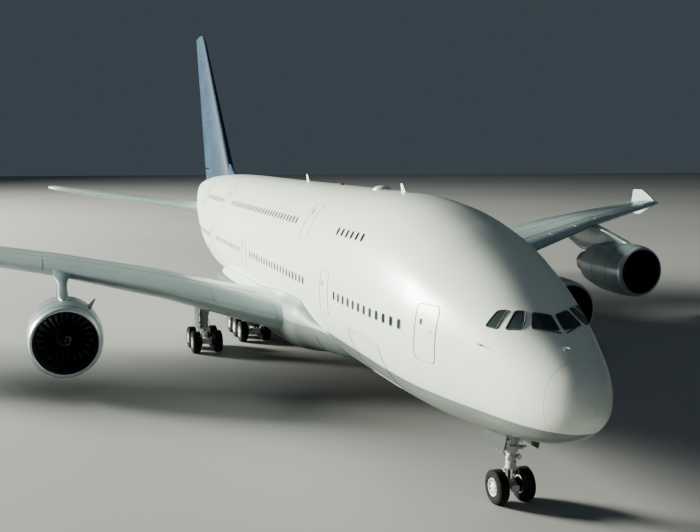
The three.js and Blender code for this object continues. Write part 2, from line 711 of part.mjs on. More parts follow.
function makeNoseGear() {
  const { s, track, collar } = NOSE_GEAR;
  const { axle } = NOSE_WHEEL;
  const z = NOSE_AXLE_Z;
  const leg = join([
    rod([0, s, collar], [0, s, BAY.roof - SEAT_GAP], 0.17, 12),
    rod([0, s, 1.9], [0, s, 2.15], 0.24, 12),
    rod([-0.6, s, 3.1], [0.6, s, 3.1], 0.09, 8),
    rod([0.3, s - 0.55, 3.6], [0, s, 2.05], 0.07, 8),
    rod([-0.3, s - 0.55, 3.6], [0, s, 2.05], 0.07, 8),
    block(-0.705, -0.68, s - 0.9, s + 0.85, 2.1, 2.7),
    block(0.68, 0.705, s - 0.9, s + 0.85, 2.1, 2.7),
    rod([-0.69, s + 0.1, 2.35], [0.69, s + 0.1, 2.35], 0.035, 6),
  ]);
  addMesh('nose_gear_leg', leg, STEEL);
  const steered = join([
    rod([0, s, z], [0, s, collar - SEAT_GAP], 0.12, 12),
    rod([0, s, collar - 0.16], [0, s, collar - SEAT_GAP], 0.2, 12),
    rod([-0.24, s, z], [0.24, s, z], 0.16, 12),
    block(-0.1, 0.1, s + 0.1, s + 0.42, 0.92, 1.0),
    block(-0.1, 0.1, s + 0.34, s + 0.42, 0.92, 1.36),
    block(-0.1, 0.1, s + 0.1, s + 0.42, 1.28, 1.36),
    block(-0.07, 0.07, s - 0.34, s - 0.1, z - 0.07, z + 0.07),
    block(-0.16, 0.16, s - 0.4, s - 0.32, z - 0.12, z + 0.12),
  ]).subtract(axleBore(0, s, z, 0.4, axle));
  addMesh('nose_gear_steered_leg', steered, STEEL);
  addMesh('nose_wheels', wheelPair(NOSE_WHEEL, track), RUBBER, [0, s, z]);
}

function makeNoseDoors() {
  const { front, back, depth, drop } = BAY_DOOR;
  const edge = BAY.half - RUN_GAP;
  const hull = hullPart(0.5, 8);
  const inner = hullPart(0.5, 8, -depth);
  const half = hull.subtract(inner).intersect(block(RUN_GAP, edge, front, back, 2, 4));
  const [a, b] = [front, back].map((s) => hullEdge(edge, s, drop));
  const knuckle = hingeKnuckle(a.clone().lerp(b, 0.44), a.clone().lerp(b, 0.51));
  const door = largest(half).add(knuckle);
  addBothSides('nose_gear_door', door, WHITE);
}

// The hull's lower skin at a distance out from the centreline, less a drop
function hullEdge(x, s, drop) {
  const [, half, bottom, , wide] = rowAt(HULL, s);
  const share = (1 - (x / half) ** HULL_BOTTOM_POWER) ** (1 / HULL_BOTTOM_POWER);
  return at(x, s, wide - (wide - bottom) * share - drop);
}

function makeMainGear(name, gear, seat) {
  const { x, s, track, axles, top } = gear;
  const z = MAIN_AXLE_Z;
  const half = (AXLE_PITCH * (axles - 1)) / 2;
  const rows = Array.from({ length: axles }, (_, i) => s - half + i * AXLE_PITCH);
  const panelX = x + 0.42;
  const parts = [
    block(x - 0.17, x + 0.17, s - half - 0.22, s + half + 0.22, z - 0.2, z + 0.2),
    rod([x, s, z], [x, s, top], 0.22, 12),
    rod([x, s, 1.35], [x, s, top], 0.3, 12),
    rod([x, s - 0.25, 1.0], [x, s - 0.62, 1.45], 0.07, 6),
    block(x - 0.07, x + 0.07, s - 0.66, s, 1.42, 1.52),
    block(panelX, panelX + 0.06, s - 0.6, s + 0.75, 1.5, top),
    rod([x, s, 1.62], [panelX + 0.03, s, 1.62], 0.06, 6),
  ];
  const bores = rows.map((row) => axleBore(x, row, z, 0.4, MAIN_WHEEL.axle));
  const leg = largest(join(parts).subtract(join(bores)).subtract(moved(seat, 0, 0, -SEAT_GAP)));
  addBothSides(`${name}_leg`, leg, STEEL);
  rows.forEach((row, i) => {
    const pair = wheelPair(MAIN_WHEEL, track);
    addMesh(`${name}_wheels_left_${i + 1}`, pair, RUBBER, [x, row, z]);
    addMesh(`${name}_wheels_right_${i + 1}`, pair, RUBBER, [-x, row, z]);
  });
}

makeHull();
makeWings();
makeTail();
makeEngines();
makeNoseGear();
makeNoseDoors();
makeMainGear('wing_gear', WING_GEAR, join([wingWhole, fairing()]));
makeMainGear('body_gear', BODY_GEAR, join([hullPart(30, 45), fairing()]));

export default plane;
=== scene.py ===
# %% [markdown]
# # A parked airliner with two decks, dressed around its CAD frame
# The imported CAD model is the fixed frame: it says where every joint and every piece is.
# This script keeps that frame and puts a fine skin, paint, glass, gear and engines around it.
# We load it first, because everything below is measured from it.

import math

import bmesh
import bpy
import numpy as np
from mathutils import Matrix, Vector


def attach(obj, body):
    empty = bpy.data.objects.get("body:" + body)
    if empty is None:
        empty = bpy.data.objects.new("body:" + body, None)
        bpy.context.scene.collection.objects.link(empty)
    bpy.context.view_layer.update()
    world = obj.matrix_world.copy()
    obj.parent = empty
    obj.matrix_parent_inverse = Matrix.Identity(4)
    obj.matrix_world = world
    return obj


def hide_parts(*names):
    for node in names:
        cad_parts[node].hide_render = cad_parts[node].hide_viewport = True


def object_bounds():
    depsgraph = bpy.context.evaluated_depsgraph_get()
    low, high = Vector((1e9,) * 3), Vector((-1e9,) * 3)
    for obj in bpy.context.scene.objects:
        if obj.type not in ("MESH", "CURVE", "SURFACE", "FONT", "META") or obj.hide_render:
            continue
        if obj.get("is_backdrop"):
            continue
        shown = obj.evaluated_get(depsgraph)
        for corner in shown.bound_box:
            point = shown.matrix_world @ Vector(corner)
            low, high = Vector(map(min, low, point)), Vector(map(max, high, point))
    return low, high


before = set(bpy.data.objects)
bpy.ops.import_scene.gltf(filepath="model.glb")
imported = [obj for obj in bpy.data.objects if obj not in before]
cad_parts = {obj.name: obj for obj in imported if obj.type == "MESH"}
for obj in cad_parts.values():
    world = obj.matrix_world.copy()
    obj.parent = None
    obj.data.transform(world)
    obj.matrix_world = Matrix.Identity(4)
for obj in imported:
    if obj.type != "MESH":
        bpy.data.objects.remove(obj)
CAD_LOW, CAD_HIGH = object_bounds()

# %% [markdown]
# ## Units
# The part is a half-size model. Drawings of an airliner are easier to read in full-size
# metres, so we draw there: x to port, s aft of the nose tip, z up from the ground.
# `to_frame` halves the numbers and moves the nose tip to where the frame has it.

# %% From full-size metres to the frame
SCALE = 0.5
LENGTH = (CAD_HIGH.y - CAD_LOW.y) / SCALE
STARBOARD, PORT = -1, 1


def to_frame(points):
    points = np.array(points, float).reshape(-1, 3)
    return (points - (0, LENGTH / 2, 0)) * SCALE


print("full-size length", round(LENGTH, 2))

# %% [markdown]
# ## Shapes made of closed skins
# Most pieces are rings of points joined into a skin: a fuselage, a tyre, a strut. They could
# be pulled out of boxes, but rings let a short table of sizes drive the shape. Each face
# carries an ink, the number of its material, so one piece can be part painted, part bare.

# %% Skins through rings
class Skins:
    def __init__(self):
        self.points = []
        self.faces = []
        self.inks = []

    def add(self, points, faces, ink=0):
        start = len(self.points)
        self.points.extend(np.array(points, float).reshape(-1, 3))
        self.faces.extend([[start + i for i in face] for face in faces])
        self.inks.extend([ink] * len(faces))
        return self

    def loft(self, rings, caps=True, ink=0, closed=False):
        """A skin through rings of equal point count; a closed one ends where it began."""
        around = len(rings[0])
        pairs = [(k, k + 1) for k in range(len(rings) - 1)]
        if closed:
            pairs.append((len(rings) - 1, 0))
        faces = []
        for near, far in pairs:
            for i in range(around):
                j = (i + 1) % around
                near_side = [near * around + i, near * around + j]
                faces.append([*near_side, far * around + j, far * around + i])
        if caps and not closed:
            faces.append(list(range(around))[::-1])
            faces.append([(len(rings) - 1) * around + i for i in range(around)])
        return self.add(np.concatenate([np.array(r, float) for r in rings]), faces, ink)

    def join(self, other):
        return self.add(other.points, other.faces).set_last_inks(other.inks)

    def set_last_inks(self, inks):
        self.inks[len(self.inks) - len(inks):] = inks
        return self

    def mirrored(self):
        flipped = [np.array(p) * (-1, 1, 1) for p in self.points]
        other = type(self)().add(flipped, [face[::-1] for face in self.faces])
        return other.set_last_inks(self.inks)


square = [(0, 0), (1, 0), (1, 1), (0, 1)]
cube = Skins().loft([[(x, y, z) for x, y in square] for z in (0, 1)])
print("a skin through two squares has", len(cube.faces), "faces")

# %% [markdown]
# ## Rods, turned profiles, slabs and blocks
# Gear and engines are made of these again and again. Each is a loft as well. Their rims are
# eased as they are drawn, because a perfectly sharp rim catches no light.

# %% The shapes that come up again and again
ROD_BEVEL = 0.12
SLAB_EASE, SLAB_EASE_SHARE = 0.12, 0.25
SLAB_SHOULDERS = (0.15, 0.85)


def circle_turns(count):
    return [2 * math.pi * i / count for i in range(count)]


class Shape(Skins):
    def turned(self, profile, centre, way, sides=32, ink=0, closed=False):
        """A profile of (radius, distance) turned about an axis through a centre."""
        axis = Vector(way).normalized()
        side = axis.orthogonal().normalized()
        up = axis.cross(side)
        spokes = [side * math.cos(a) + up * math.sin(a) for a in circle_turns(sides)]
        rings = []
        for radius, along in profile:
            middle = Vector(centre) + axis * along
            rings.append([middle + spoke * radius for spoke in spokes])
        return self.loft(rings, not closed, ink, closed)

    def rod(self, start, end, radius, sides=14, ink=0, end_radius=None):
        way = Vector(end) - Vector(start)
        tip = radius if end_radius is None else end_radius
        bevel = min(radius, way.length) * ROD_BEVEL
        sides_line = [(radius, bevel), (tip, way.length - bevel)]
        profile = [(radius - bevel, 0), *sides_line, (tip - bevel, way.length)]
        return self.turned(profile, start, way, sides, ink)

    def slab(self, outline, thick, ink=0):
        outline = np.array(outline, float)
        thick = np.array(thick, float)
        middle = outline.mean(axis=0)
        longest = max(np.ptp(outline, axis=0).max(), 1e-6)
        ease = min(SLAB_EASE, SLAB_EASE_SHARE * np.linalg.norm(thick) / longest)
        inner = middle + (outline - middle) * (1 - ease)
        shoulders = [outline + thick * share for share in SLAB_SHOULDERS]
        return self.loft([inner, *shoulders, inner + thick], True, ink)

    def block(self, low, high, ink=0):
        (x0, s0, z0), (x1, s1, z1) = low, high
        outline = [(x0, s0, z0), (x1, s0, z0), (x1, s1, z0), (x0, s1, z0)]
        return self.slab(outline, (0, 0, z1 - z0), ink)


print("a rod has", len(Shape().rod((0, 0, 0), (0, 0, 1), 0.1).faces), "faces")

# %% [markdown]
# ## From a shape to an object
# Rings leave doubled points at seams, and mirrored skins may face inwards. So every mesh is
# cleaned once: doubles are merged, empty faces dissolved and faces turned outwards. Edges
# sharper than a limit are marked, which keeps them crisp under smooth shading.

# %% Clean a mesh and make an object of it
CREASE = math.radians(35)
MERGE_DISTANCE = 2e-5


def add_object(name, mesh, finishes):
    tidy = bmesh.new()
    tidy.from_mesh(mesh)
    bmesh.ops.remove_doubles(tidy, verts=tidy.verts, dist=MERGE_DISTANCE)
    bmesh.ops.dissolve_degenerate(tidy, edges=tidy.edges, dist=MERGE_DISTANCE)
    bmesh.ops.recalc_face_normals(tidy, faces=tidy.faces)
    tidy.to_mesh(mesh)
    tidy.free()
    inks = [min(face.material_index, len(finishes) - 1) for face in mesh.polygons]
    mesh.materials.clear()  # this alone would also set every face back to the first finish
    for finish in finishes:
        mesh.materials.append(finish)
    mesh.polygons.foreach_set("material_index", inks)
    mesh.shade_smooth()
    mesh.set_sharp_from_angle(angle=CREASE)
    made = bpy.data.objects.new(name, mesh)
    bpy.context.scene.collection.objects.link(made)
    return made


def build(name, shape, finishes):
    mesh = bpy.data.meshes.new(name)
    mesh.from_pydata(to_frame(shape.points).tolist(), [], shape.faces)
    mesh.polygons.foreach_set("material_index", shape.inks)
    return add_object(name, mesh, finishes)


def settle(made, slot, *nodes, body="airframe"):
    """Puts a piece on the body it moves with and hides the CAD nodes it stands for; the slot is not used.
    """
    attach(made, body)
    if nodes:
        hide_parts(*nodes)
    print(made.name, "on", body, "has", len(made.data.polygons), "faces")
    return made


def piece(name, shape, finishes, *said, **where):
    return settle(build(name, shape, finishes), *said, **where)


print("edges sharper than", round(math.degrees(CREASE)), "degrees stay crisp")

# %% [markdown]
# ## Tables read along smooth curves
# Straight lines between the frames of a hull would leave facets, so each column of a table
# is read along a monotone cubic: it passes through every row and never bulges past it.

# %% Read a table between its rows
def smooth_table(rows, key=lambda value: value):
    """A reader of every column at any place, through all the rows."""
    rows = np.array(rows, float)
    knots, values = key(rows[:, 0]), rows[:, 1:]
    steps = np.diff(knots)[:, None]
    slopes = np.diff(values, axis=0) / steps
    tangents = np.vstack([slopes[:1], np.zeros_like(slopes[1:]), slopes[-1:]])
    before, after = slopes[:-1], slopes[1:]
    weight_before, weight_after = 2 * steps[1:] + steps[:-1], steps[1:] + 2 * steps[:-1]
    same_way = before * after > 0
    safe_before, safe_after = np.where(same_way, before, 1), np.where(same_way, after, 1)
    mean = (weight_before + weight_after) / (weight_before / safe_before + weight_after / safe_after)
    tangents[1:-1] = np.where(same_way, mean, 0)

    def read(place):
        u = key(place)
        k = int(np.clip(np.searchsorted(knots, u) - 1, 0, len(knots) - 2))
        step = knots[k + 1] - knots[k]
        t = min(max((u - knots[k]) / step, 0), 1)
        start = values[k] * (1 + 2 * t) * (1 - t) ** 2 + values[k + 1] * t ** 2 * (3 - 2 * t)
        return start + step * (tangents[k] * t * (1 - t) ** 2 - tangents[k + 1] * t ** 2 * (1 - t))

    return read


trial_curve = smooth_table([[0, 0], [1, 1], [2, 1.2]])
print("a curve through 0, 1 and 1.2 passes", trial_curve(0.5)[0].round(3), "halfway to 1")

# %% [markdown]
# ## Shader maths as Python
# A material is a graph of nodes. Wired by hand, a dozen sums fill a page. Wrapping a socket
# in a small class lets us write them as expressions: each operator adds one Math node.

# %% A value in a material, with Python's operators
def operator(kind):
    """A method that adds one Math node, for this value and another."""
    return lambda self, other: self.sum(kind, self, other)


class Value:
    def __init__(self, finish, socket):
        self.finish = finish
        self.socket = socket

    def sum(self, operation, *terms):
        settings = {"operation": operation}
        return self.finish.node("ShaderNodeMath", settings, dict(enumerate(terms)))

    __add__ = __radd__ = operator("ADD")
    __mul__ = __rmul__ = operator("MULTIPLY")
    __sub__ = operator("SUBTRACT")
    __truediv__ = operator("DIVIDE")
    either = operator("MAXIMUM")

    def __rsub__(self, other):
        return self.sum("SUBTRACT", other, self)

    def size(self):
        return self.sum("ABSOLUTE", self)

    def ramp(self, low, high, start=0.0, end=1.0):
        """Eases from start to end while this value goes from low to high."""
        bounds = {"From Min": low, "From Max": high, "To Min": start, "To Max": end}
        settings = {"interpolation_type": "SMOOTHSTEP"}
        return self.finish.node("ShaderNodeMapRange", settings, {"Value": self, **bounds})

    def joint(self, pitch, width):
        """1 on lines that repeat at a pitch, and 0 between them."""
        return 1 - self.sum("PINGPONG", self, pitch / 2).ramp(0, width)


print("each of + - * / adds one Math node")

# %% [markdown]
# ## A finish holds one material
# Every material here is one Principled shader, with nodes that vary it over the surface.
# They read the Object coordinates and not a UV map, because metres on the airliner need no
# unwrapping, and because the paint then stays put on a piece that moves.

# %% A finish and the nodes that it can make
COLOUR_A, COLOUR_B, COLOUR_OUT = 6, 7, 2  # the Mix node's sockets for colours


class Finish:
    def __init__(self, name, **constants):
        self.material = bpy.data.materials.new(name)
        self.material.use_nodes = True
        self.nodes = self.material.node_tree.nodes
        self.links = self.material.node_tree.links
        self.shader = self.nodes["Principled BSDF"]
        for socket, value in constants.items():
            self.shader.inputs[socket.replace("_", " ")].default_value = value

    def node(self, kind, settings, values, output=0):
        made = self.nodes.new(kind)
        for name, value in settings.items():
            setattr(made, name, value)
        for name, value in values.items():
            if isinstance(value, Value):
                self.links.new(value.socket, made.inputs[name])
            else:
                made.inputs[name].default_value = value
        return Value(self, made.outputs[output])

    def place(self):
        """The surface point in full-size metres, as x, s and z values."""
        spot = self.node("ShaderNodeTexCoord", {}, {}, "Object")
        apart = self.node("ShaderNodeSeparateXYZ", {}, {0: spot})
        x, y, z = [Value(self, out) for out in apart.socket.node.outputs]
        return x / SCALE, y / SCALE + LENGTH / 2, z / SCALE

    def noise(self, scale, detail=3.0, stretch=(1, 1, 1)):
        spot = self.node("ShaderNodeTexCoord", {}, {}, "Object")
        turned = self.node("ShaderNodeMapping", {}, {"Vector": spot, "Scale": stretch})
        values = {"Vector": turned, "Scale": scale, "Detail": detail}
        return self.node("ShaderNodeTexNoise", {}, values)

    def mix(self, share, first, second):
        ends = {COLOUR_A: first, COLOUR_B: second}
        ends = {name: end if isinstance(end, Value) else (*end, 1) for name, end in ends.items()}
        return self.node("ShaderNodeMix", {"data_type": "RGBA"}, {0: share, **ends}, COLOUR_OUT)

    def feed(self, socket, value):
        self.links.new(value.socket, self.shader.inputs[socket])
        return self

    def bump(self, height, distance, strength=0.5):
        values = {"Height": height, "Distance": distance, "Strength": strength}
        return self.feed("Normal", self.node("ShaderNodeBump", {}, values))


trial = Finish("trial")
trial.feed("Roughness", (trial.place()[2] * 0.1 + 0.2).ramp(0, 1))
print("two sums, a ramp and the place of a point took", len(trial.nodes), "nodes")
bpy.data.materials.remove(trial.material)

# %% [markdown]
# ## Geometry Nodes by calls
# Windows and blades repeat, and seams follow lines, so node trees make them. A tree can be
# drawn by hand in the editor, but calls can be read and changed line by line. `Grower`
# builds a tree whose inputs have names.

# %% Build a geometry tree
class Grower:
    def __init__(self, name, inputs):
        self.tree = bpy.data.node_groups.new(name, "GeometryNodeTree")
        self.socket("Geometry", "Geometry", "OUTPUT")
        self.socket("Geometry", "Geometry")
        for label, kind in inputs.items():
            self.socket(label, kind)
        self.start = self.tree.nodes.new("NodeGroupInput")

    def socket(self, label, kind, way="INPUT"):
        self.tree.interface.new_socket(label, in_out=way, socket_type="NodeSocket" + kind)

    def input(self, label):
        return self.start.outputs[label]

    def node(self, kind, settings, values, output=0):
        made = self.tree.nodes.new(kind)
        for name, value in settings.items():
            setattr(made, name, value)
        for name, value in values.items():
            if isinstance(value, bpy.types.NodeSocket):
                self.tree.links.new(value, made.inputs[name])
            else:
                made.inputs[name].default_value = value
        return made.outputs[output]

    def object(self, label):
        return self.node("GeometryNodeObjectInfo", {}, {"Object": self.input(label)}, "Geometry")

    def end(self, geometry):
        real = self.node("GeometryNodeRealizeInstances", {}, {"Geometry": geometry})
        values = {"Geometry": real, "Material": self.input("Finish")}
        inked = self.node("GeometryNodeSetMaterial", {}, values)
        self.tree.links.new(inked, self.tree.nodes.new("NodeGroupOutput").inputs[0])
        return self.tree


print("trees take objects, numbers, vectors and a finish by name")

# %% [markdown]
# A tree runs as a modifier. We keep only its result, as a plain mesh, because instances and
# live modifiers would be lost in the export. Holes are cut by a Boolean in the same way.

# %% Run a tree, and cut one object by another
def evaluated_mesh(thing):
    graph = bpy.context.evaluated_depsgraph_get()
    return bpy.data.meshes.new_from_object(thing.evaluated_get(graph))


def grow(name, tree, finish, source=None, **values):
    source = source or bpy.data.meshes.new(name)
    worker = bpy.data.objects.new(name + "_worker", source)
    bpy.context.scene.collection.objects.link(worker)
    modifier = worker.modifiers.new("grow", "NODES")
    modifier.node_group = tree
    values = {"Finish": finish, **values}
    for item in tree.interface.items_tree:
        if item.in_out == "INPUT" and item.name in values:
            modifier[item.identifier] = values[item.name]
    mesh = evaluated_mesh(worker)
    bpy.data.objects.remove(worker)
    return add_object(name, mesh, [finish])


def trim(target, cutter):
    """Cuts one closed object by another; the cut faces take the cutter's material."""
    modifier = target.modifiers.new("trim", "BOOLEAN")
    modifier.operation = "DIFFERENCE"
    modifier.solver = "EXACT"
    modifier.material_mode = "TRANSFER"
    modifier.object = cutter
    mesh = evaluated_mesh(target)
    target.modifiers.remove(modifier)
    target.data = mesh
    bpy.data.objects.remove(cutter)
    mesh.set_sharp_from_angle(angle=CREASE)
    return target


# %% [markdown]
# ## Paint
# Airliner paint is a gloss coat over smooth metal. Up close it shows skin joints, a little
# dirt that runs aft, and a slightly wavy coat. An image could hold all that, but it would
# have to be unwrapped for every piece. Noise and sums read from the place need no map.

# %% The white hull paint with its grey belly
WHITE, CHALKY_WHITE = (0.79, 0.86, 0.77), (0.74, 0.78, 0.73)
BELLY_GREY = (0.15, 0.178, 0.162)
DIRT, JOINT_DARK, PANEL_DARK = (0.42, 0.43, 0.40), (0.25, 0.27, 0.27), (0.12, 0.13, 0.14)
FRAME_PITCH, JOINT_WIDTH = 2.54, 0.022
PANEL_LEVELS = (4.55, 5.05, 7.55, 9.95)
BELLY_LINE = 3.93  # the level of the grey's upper edge, before it rises at nose and tail
WAVE_DEPTH = 0.0015
ALONG = (1, 0.12, 1)  # stretches a noise along the hull, so that dirt runs aft


def hull_paint():
    finish = Finish("hull_paint", Coat_Weight=0.35, Coat_Roughness=0.22)
    _, s, z = finish.place()
    joints = s.joint(FRAME_PITCH, JOINT_WIDTH)
    for level in PANEL_LEVELS:
        joints = joints.either((z - level).size().ramp(0, 0.015, 0.6, 0))
    rise = s.ramp(6, 14, 0, 0.16) + s.ramp(44, 66, 0, 3.4)
    belly = (z - (BELLY_LINE + rise)).ramp(-0.02, 0.02, 1, 0)
    streaks = finish.noise(2.2, 4, ALONG).ramp(0.45, 0.8)
    cloudy = finish.noise(0.35, 2).ramp(0.3, 0.7)
    clean = finish.mix(cloudy * 0.35, WHITE, CHALKY_WHITE)
    base = finish.mix(belly, clean, BELLY_GREY)
    dirty = finish.mix(streaks * (0.10 + belly * 0.25), base, DIRT)
    finish.feed("Base Color", finish.mix(joints * 0.13, dirty, JOINT_DARK))
    finish.feed("Roughness", 0.34 + streaks * 0.1 + joints * 0.2)
    return finish.bump(finish.noise(9, 2) * 0.12 - joints, WAVE_DEPTH).material


HULL_PAINT = hull_paint()
print("made", HULL_PAINT.name)

# %% [markdown]
# ## The other paints and the metals
# Metal is bare where heat or rain would strip paint. Two recipes make all of these, for
# paint over panels and for bare metal. On the belly fairing three paints meet, and the
# darkest, under the shoulder, is partly painted shade.

# %% Painted and bare surfaces
PLAIN_JOINT = 0.016


def plain_paint(name, colour, shade, roughness=0.3, pitch=1.27, level_pitch=None, coat=0.4, shine=0.5):
    finish = Finish(name, Coat_Weight=coat, Coat_Roughness=0.15, Specular_IOR_Level=shine)
    _, s, z = finish.place()
    joints = s.joint(pitch, PLAIN_JOINT)
    if level_pitch:
        joints = joints.either(z.joint(level_pitch, PLAIN_JOINT))
    cloudy = finish.noise(0.8, 4, (1, 0.4, 1)).ramp(0.35, 0.7)
    streaks = finish.noise(6, 4, (1, 0.1, 1)).ramp(0.5, 0.8)
    base = finish.mix(cloudy, colour, shade)
    finish.feed("Base Color", finish.mix(joints * 0.3 + streaks * 0.1, base, PANEL_DARK))
    finish.feed("Roughness", roughness + cloudy * 0.08 + streaks * 0.1)
    return finish.bump(finish.noise(12, 2) * 0.1 - joints, WAVE_DEPTH).material


def fairing_paint_and_shade():
    """Under the shoulder dark grey, part paint and part painted shade; blue-grey over it; the hull's white
    above the root.
    """
    finish = Finish("fairing_paint_and_shade", Coat_Weight=0.1, Coat_Roughness=0.4, Specular_IOR_Level=0.35)
    _, s, z = finish.place()
    border = s.ramp(22.5, 25.0, 5.2, 4.7) + s.ramp(25, 40, 0, -1.5)
    white = (z - border).ramp(-0.45, 0.25)
    cloudy = finish.noise(0.8, 4, (1, 0.4, 1)).ramp(0.35, 0.7)
    grey = finish.mix(cloudy, (0.21, 0.265, 0.26), (0.18, 0.23, 0.225))
    # This grey is far darker than the hull's belly grey: it is partly painted shade under the wing root.
    belly = finish.mix(cloudy, (0.072, 0.092, 0.088), (0.062, 0.08, 0.077))
    under = (s.ramp(15.5, 18.5, 3.6, 4.02) - z).ramp(-0.05, 0.05)
    paint = finish.mix(under, finish.mix(white, grey, WHITE), belly)
    joints = s.joint(3.2, PLAIN_JOINT)
    finish.feed("Base Color", finish.mix(joints * 0.3, paint, PANEL_DARK))
    finish.feed("Roughness", 0.5 + cloudy * 0.08)
    return finish.bump(finish.noise(12, 2) * 0.1 - joints, WAVE_DEPTH).material


def bare_metal(name, colour, shade, roughness, grain=(1, 1, 1), metallic=1.0):
    finish = Finish(name, Metallic=metallic)
    blotches = finish.noise(1.6, 4).ramp(0.35, 0.7)
    fine = finish.noise(40, 3, grain)
    finish.feed("Base Color", finish.mix(blotches, colour, shade))
    finish.feed("Roughness", roughness + fine * 0.14 + blotches * 0.06)
    return finish.bump(fine, 0.0006, 0.4).material


WING_PAINT = plain_paint("wing_paint", (0.47, 0.60, 0.58), (0.42, 0.545, 0.53), pitch=2.1)
FIN_PAINT = plain_paint("fin_paint", (0.012, 0.033, 0.062), (0.015, 0.039, 0.073), 0.45, pitch=3.1,
                        level_pitch=2.4, coat=0.0, shine=0.07)
COWL_PAINT = plain_paint("cowl_paint", (0.23, 0.30, 0.31), (0.19, 0.26, 0.275), 0.28, pitch=40)
# Only the nose gear's side doors take this grey. It is much darker than the belly's own grey, and the extra
# dark is painted shade.
SHADED_BELLY_PAINT = plain_paint("shaded_belly_paint", (0.062, 0.073, 0.066), (0.052, 0.062, 0.057), 0.5,
                          coat=0.0, shine=0.1)
FAIRING_PAINT_AND_SHADE = fairing_paint_and_shade()
LIP_METAL = bare_metal("lip_metal", (0.50, 0.57, 0.61), (0.44, 0.51, 0.55), 0.26, (1, 0.05, 1), 0.45)
SLAT_METAL = bare_metal("slat_metal", (0.50, 0.62, 0.62), (0.45, 0.56, 0.57), 0.26, (0.1, 1, 1), 0.3)
HOT_METAL = bare_metal("hot_metal", (0.36, 0.31, 0.26), (0.22, 0.20, 0.22), 0.34, (1, 0.1, 1))
# Near black: on the fan blades and guide vanes this is painted shade inside the intake; on the brakes it is
# their own dark metal.
BLADE_SHADE_AND_BRAKE_METAL = bare_metal("blade_shade_and_brake_metal", (0.06, 0.065, 0.07), (0.035, 0.04, 0.045), 0.3)
CHROME = bare_metal("chrome", (0.82, 0.84, 0.85), (0.74, 0.77, 0.79), 0.08)
print("made the paints and metals")

# %% [markdown]
# ## The finishes of the small parts
# One recipe, `matte`, gives them all: a noise moves the colour and the roughness a little,
# because a surface that is the same all over looks like plastic.

# %% Enamel, rubber, seals, liners, glass and lamps
def matte(name, colour, shade, roughness, scale=14, depth=0.0006, **constants):
    finish = Finish(name, **constants)
    patches = finish.noise(scale, 4)
    finish.feed("Base Color", finish.mix(patches.ramp(0.35, 0.65), colour, shade))
    finish.feed("Roughness", roughness + (patches - 0.5) * 0.2)
    return finish.bump(patches, depth).material


def glass(name, colour, shade, scale, shine):
    return matte(name, colour, shade, 0.14, scale, 0.0001, Specular_IOR_Level=shine)


def lens(name, colour, shade, roughness=0.1):
    return matte(name, colour, shade, roughness, 30, 0.0002, Coat_Weight=1.0)


ENAMEL = matte("gear_enamel", (0.62, 0.64, 0.63), (0.52, 0.54, 0.53), 0.34, 5, 0.0004)
WHEEL_WHITE = matte("wheel_white", (0.82, 0.84, 0.82), (0.70, 0.72, 0.70), 0.32, 8, 0.0003)
TYRE_RUBBER = matte("tyre_rubber", (0.011, 0.011, 0.012), (0.020, 0.019, 0.018), 0.9, 9, 0.0012,
                    Specular_IOR_Level=0.1)
SEAL = matte("seal_rubber", (0.05, 0.055, 0.06), (0.08, 0.085, 0.09), 0.6)
# Grey of seals and panel lines; on the spinner's comma it is painted shade.
SEAL_GREY_AND_SWIRL_SHADE = matte("seal_grey_and_swirl_shade", (0.16, 0.18, 0.19), (0.22, 0.24, 0.25), 0.55)
LINER = matte("bay_liner", (0.42, 0.45, 0.42), (0.33, 0.36, 0.34), 0.5, 4, 0.001)
# Black: soot in the exhaust, the wipers and wicks, and painted shadow in the fairing's air inlets.
SOOT_BLACK_AND_SHADE = matte("soot_black_and_shade", (0.02, 0.02, 0.021), (0.05, 0.047, 0.044), 0.7, 3)
# Near black: painted shade inside the intake, over a duct liner that is a lighter grey.
DUCT_LINER_SHADE = matte("duct_liner_painted_shade", (0.022, 0.025, 0.026), (0.015, 0.017, 0.018), 1.0, 6,
                   Specular_IOR_Level=0.0)
SPINNER_PAINT = matte("spinner_paint", (0.012, 0.013, 0.015), (0.02, 0.022, 0.024), 0.4, 8)
HOSE = matte("hose_rubber", (0.03, 0.03, 0.032), (0.06, 0.06, 0.06), 0.5)
WINDOW_FRAME = matte("window_frame", (0.52, 0.55, 0.54), (0.44, 0.47, 0.46), 0.36)
COCKPIT_GLASS = glass("cockpit_glass", (0.020, 0.030, 0.030), (0.028, 0.042, 0.042), 0.6, 0.3)
CABIN_GLASS = glass("cabin_glass", (0.012, 0.016, 0.020), (0.022, 0.028, 0.034), 2, 0.35)
LAMP = lens("lamp_lens", (0.85, 0.87, 0.88), (0.75, 0.78, 0.80), 0.08)
RED_LAMP = lens("red_lens", (0.55, 0.02, 0.015), (0.40, 0.015, 0.01))
GREEN_LAMP = lens("green_lens", (0.01, 0.35, 0.08), (0.01, 0.28, 0.06))
print("made", len(bpy.data.materials), "materials")

# %% [markdown]
# ## The hull
# Every frame of the hull is two half super-ellipses that meet at its widest point. A
# subdivided box would need many hand-set points, while a frame needs four sizes. The nose is
# blunt, so the table is read by the square root of s, which makes its round tip a straight one.

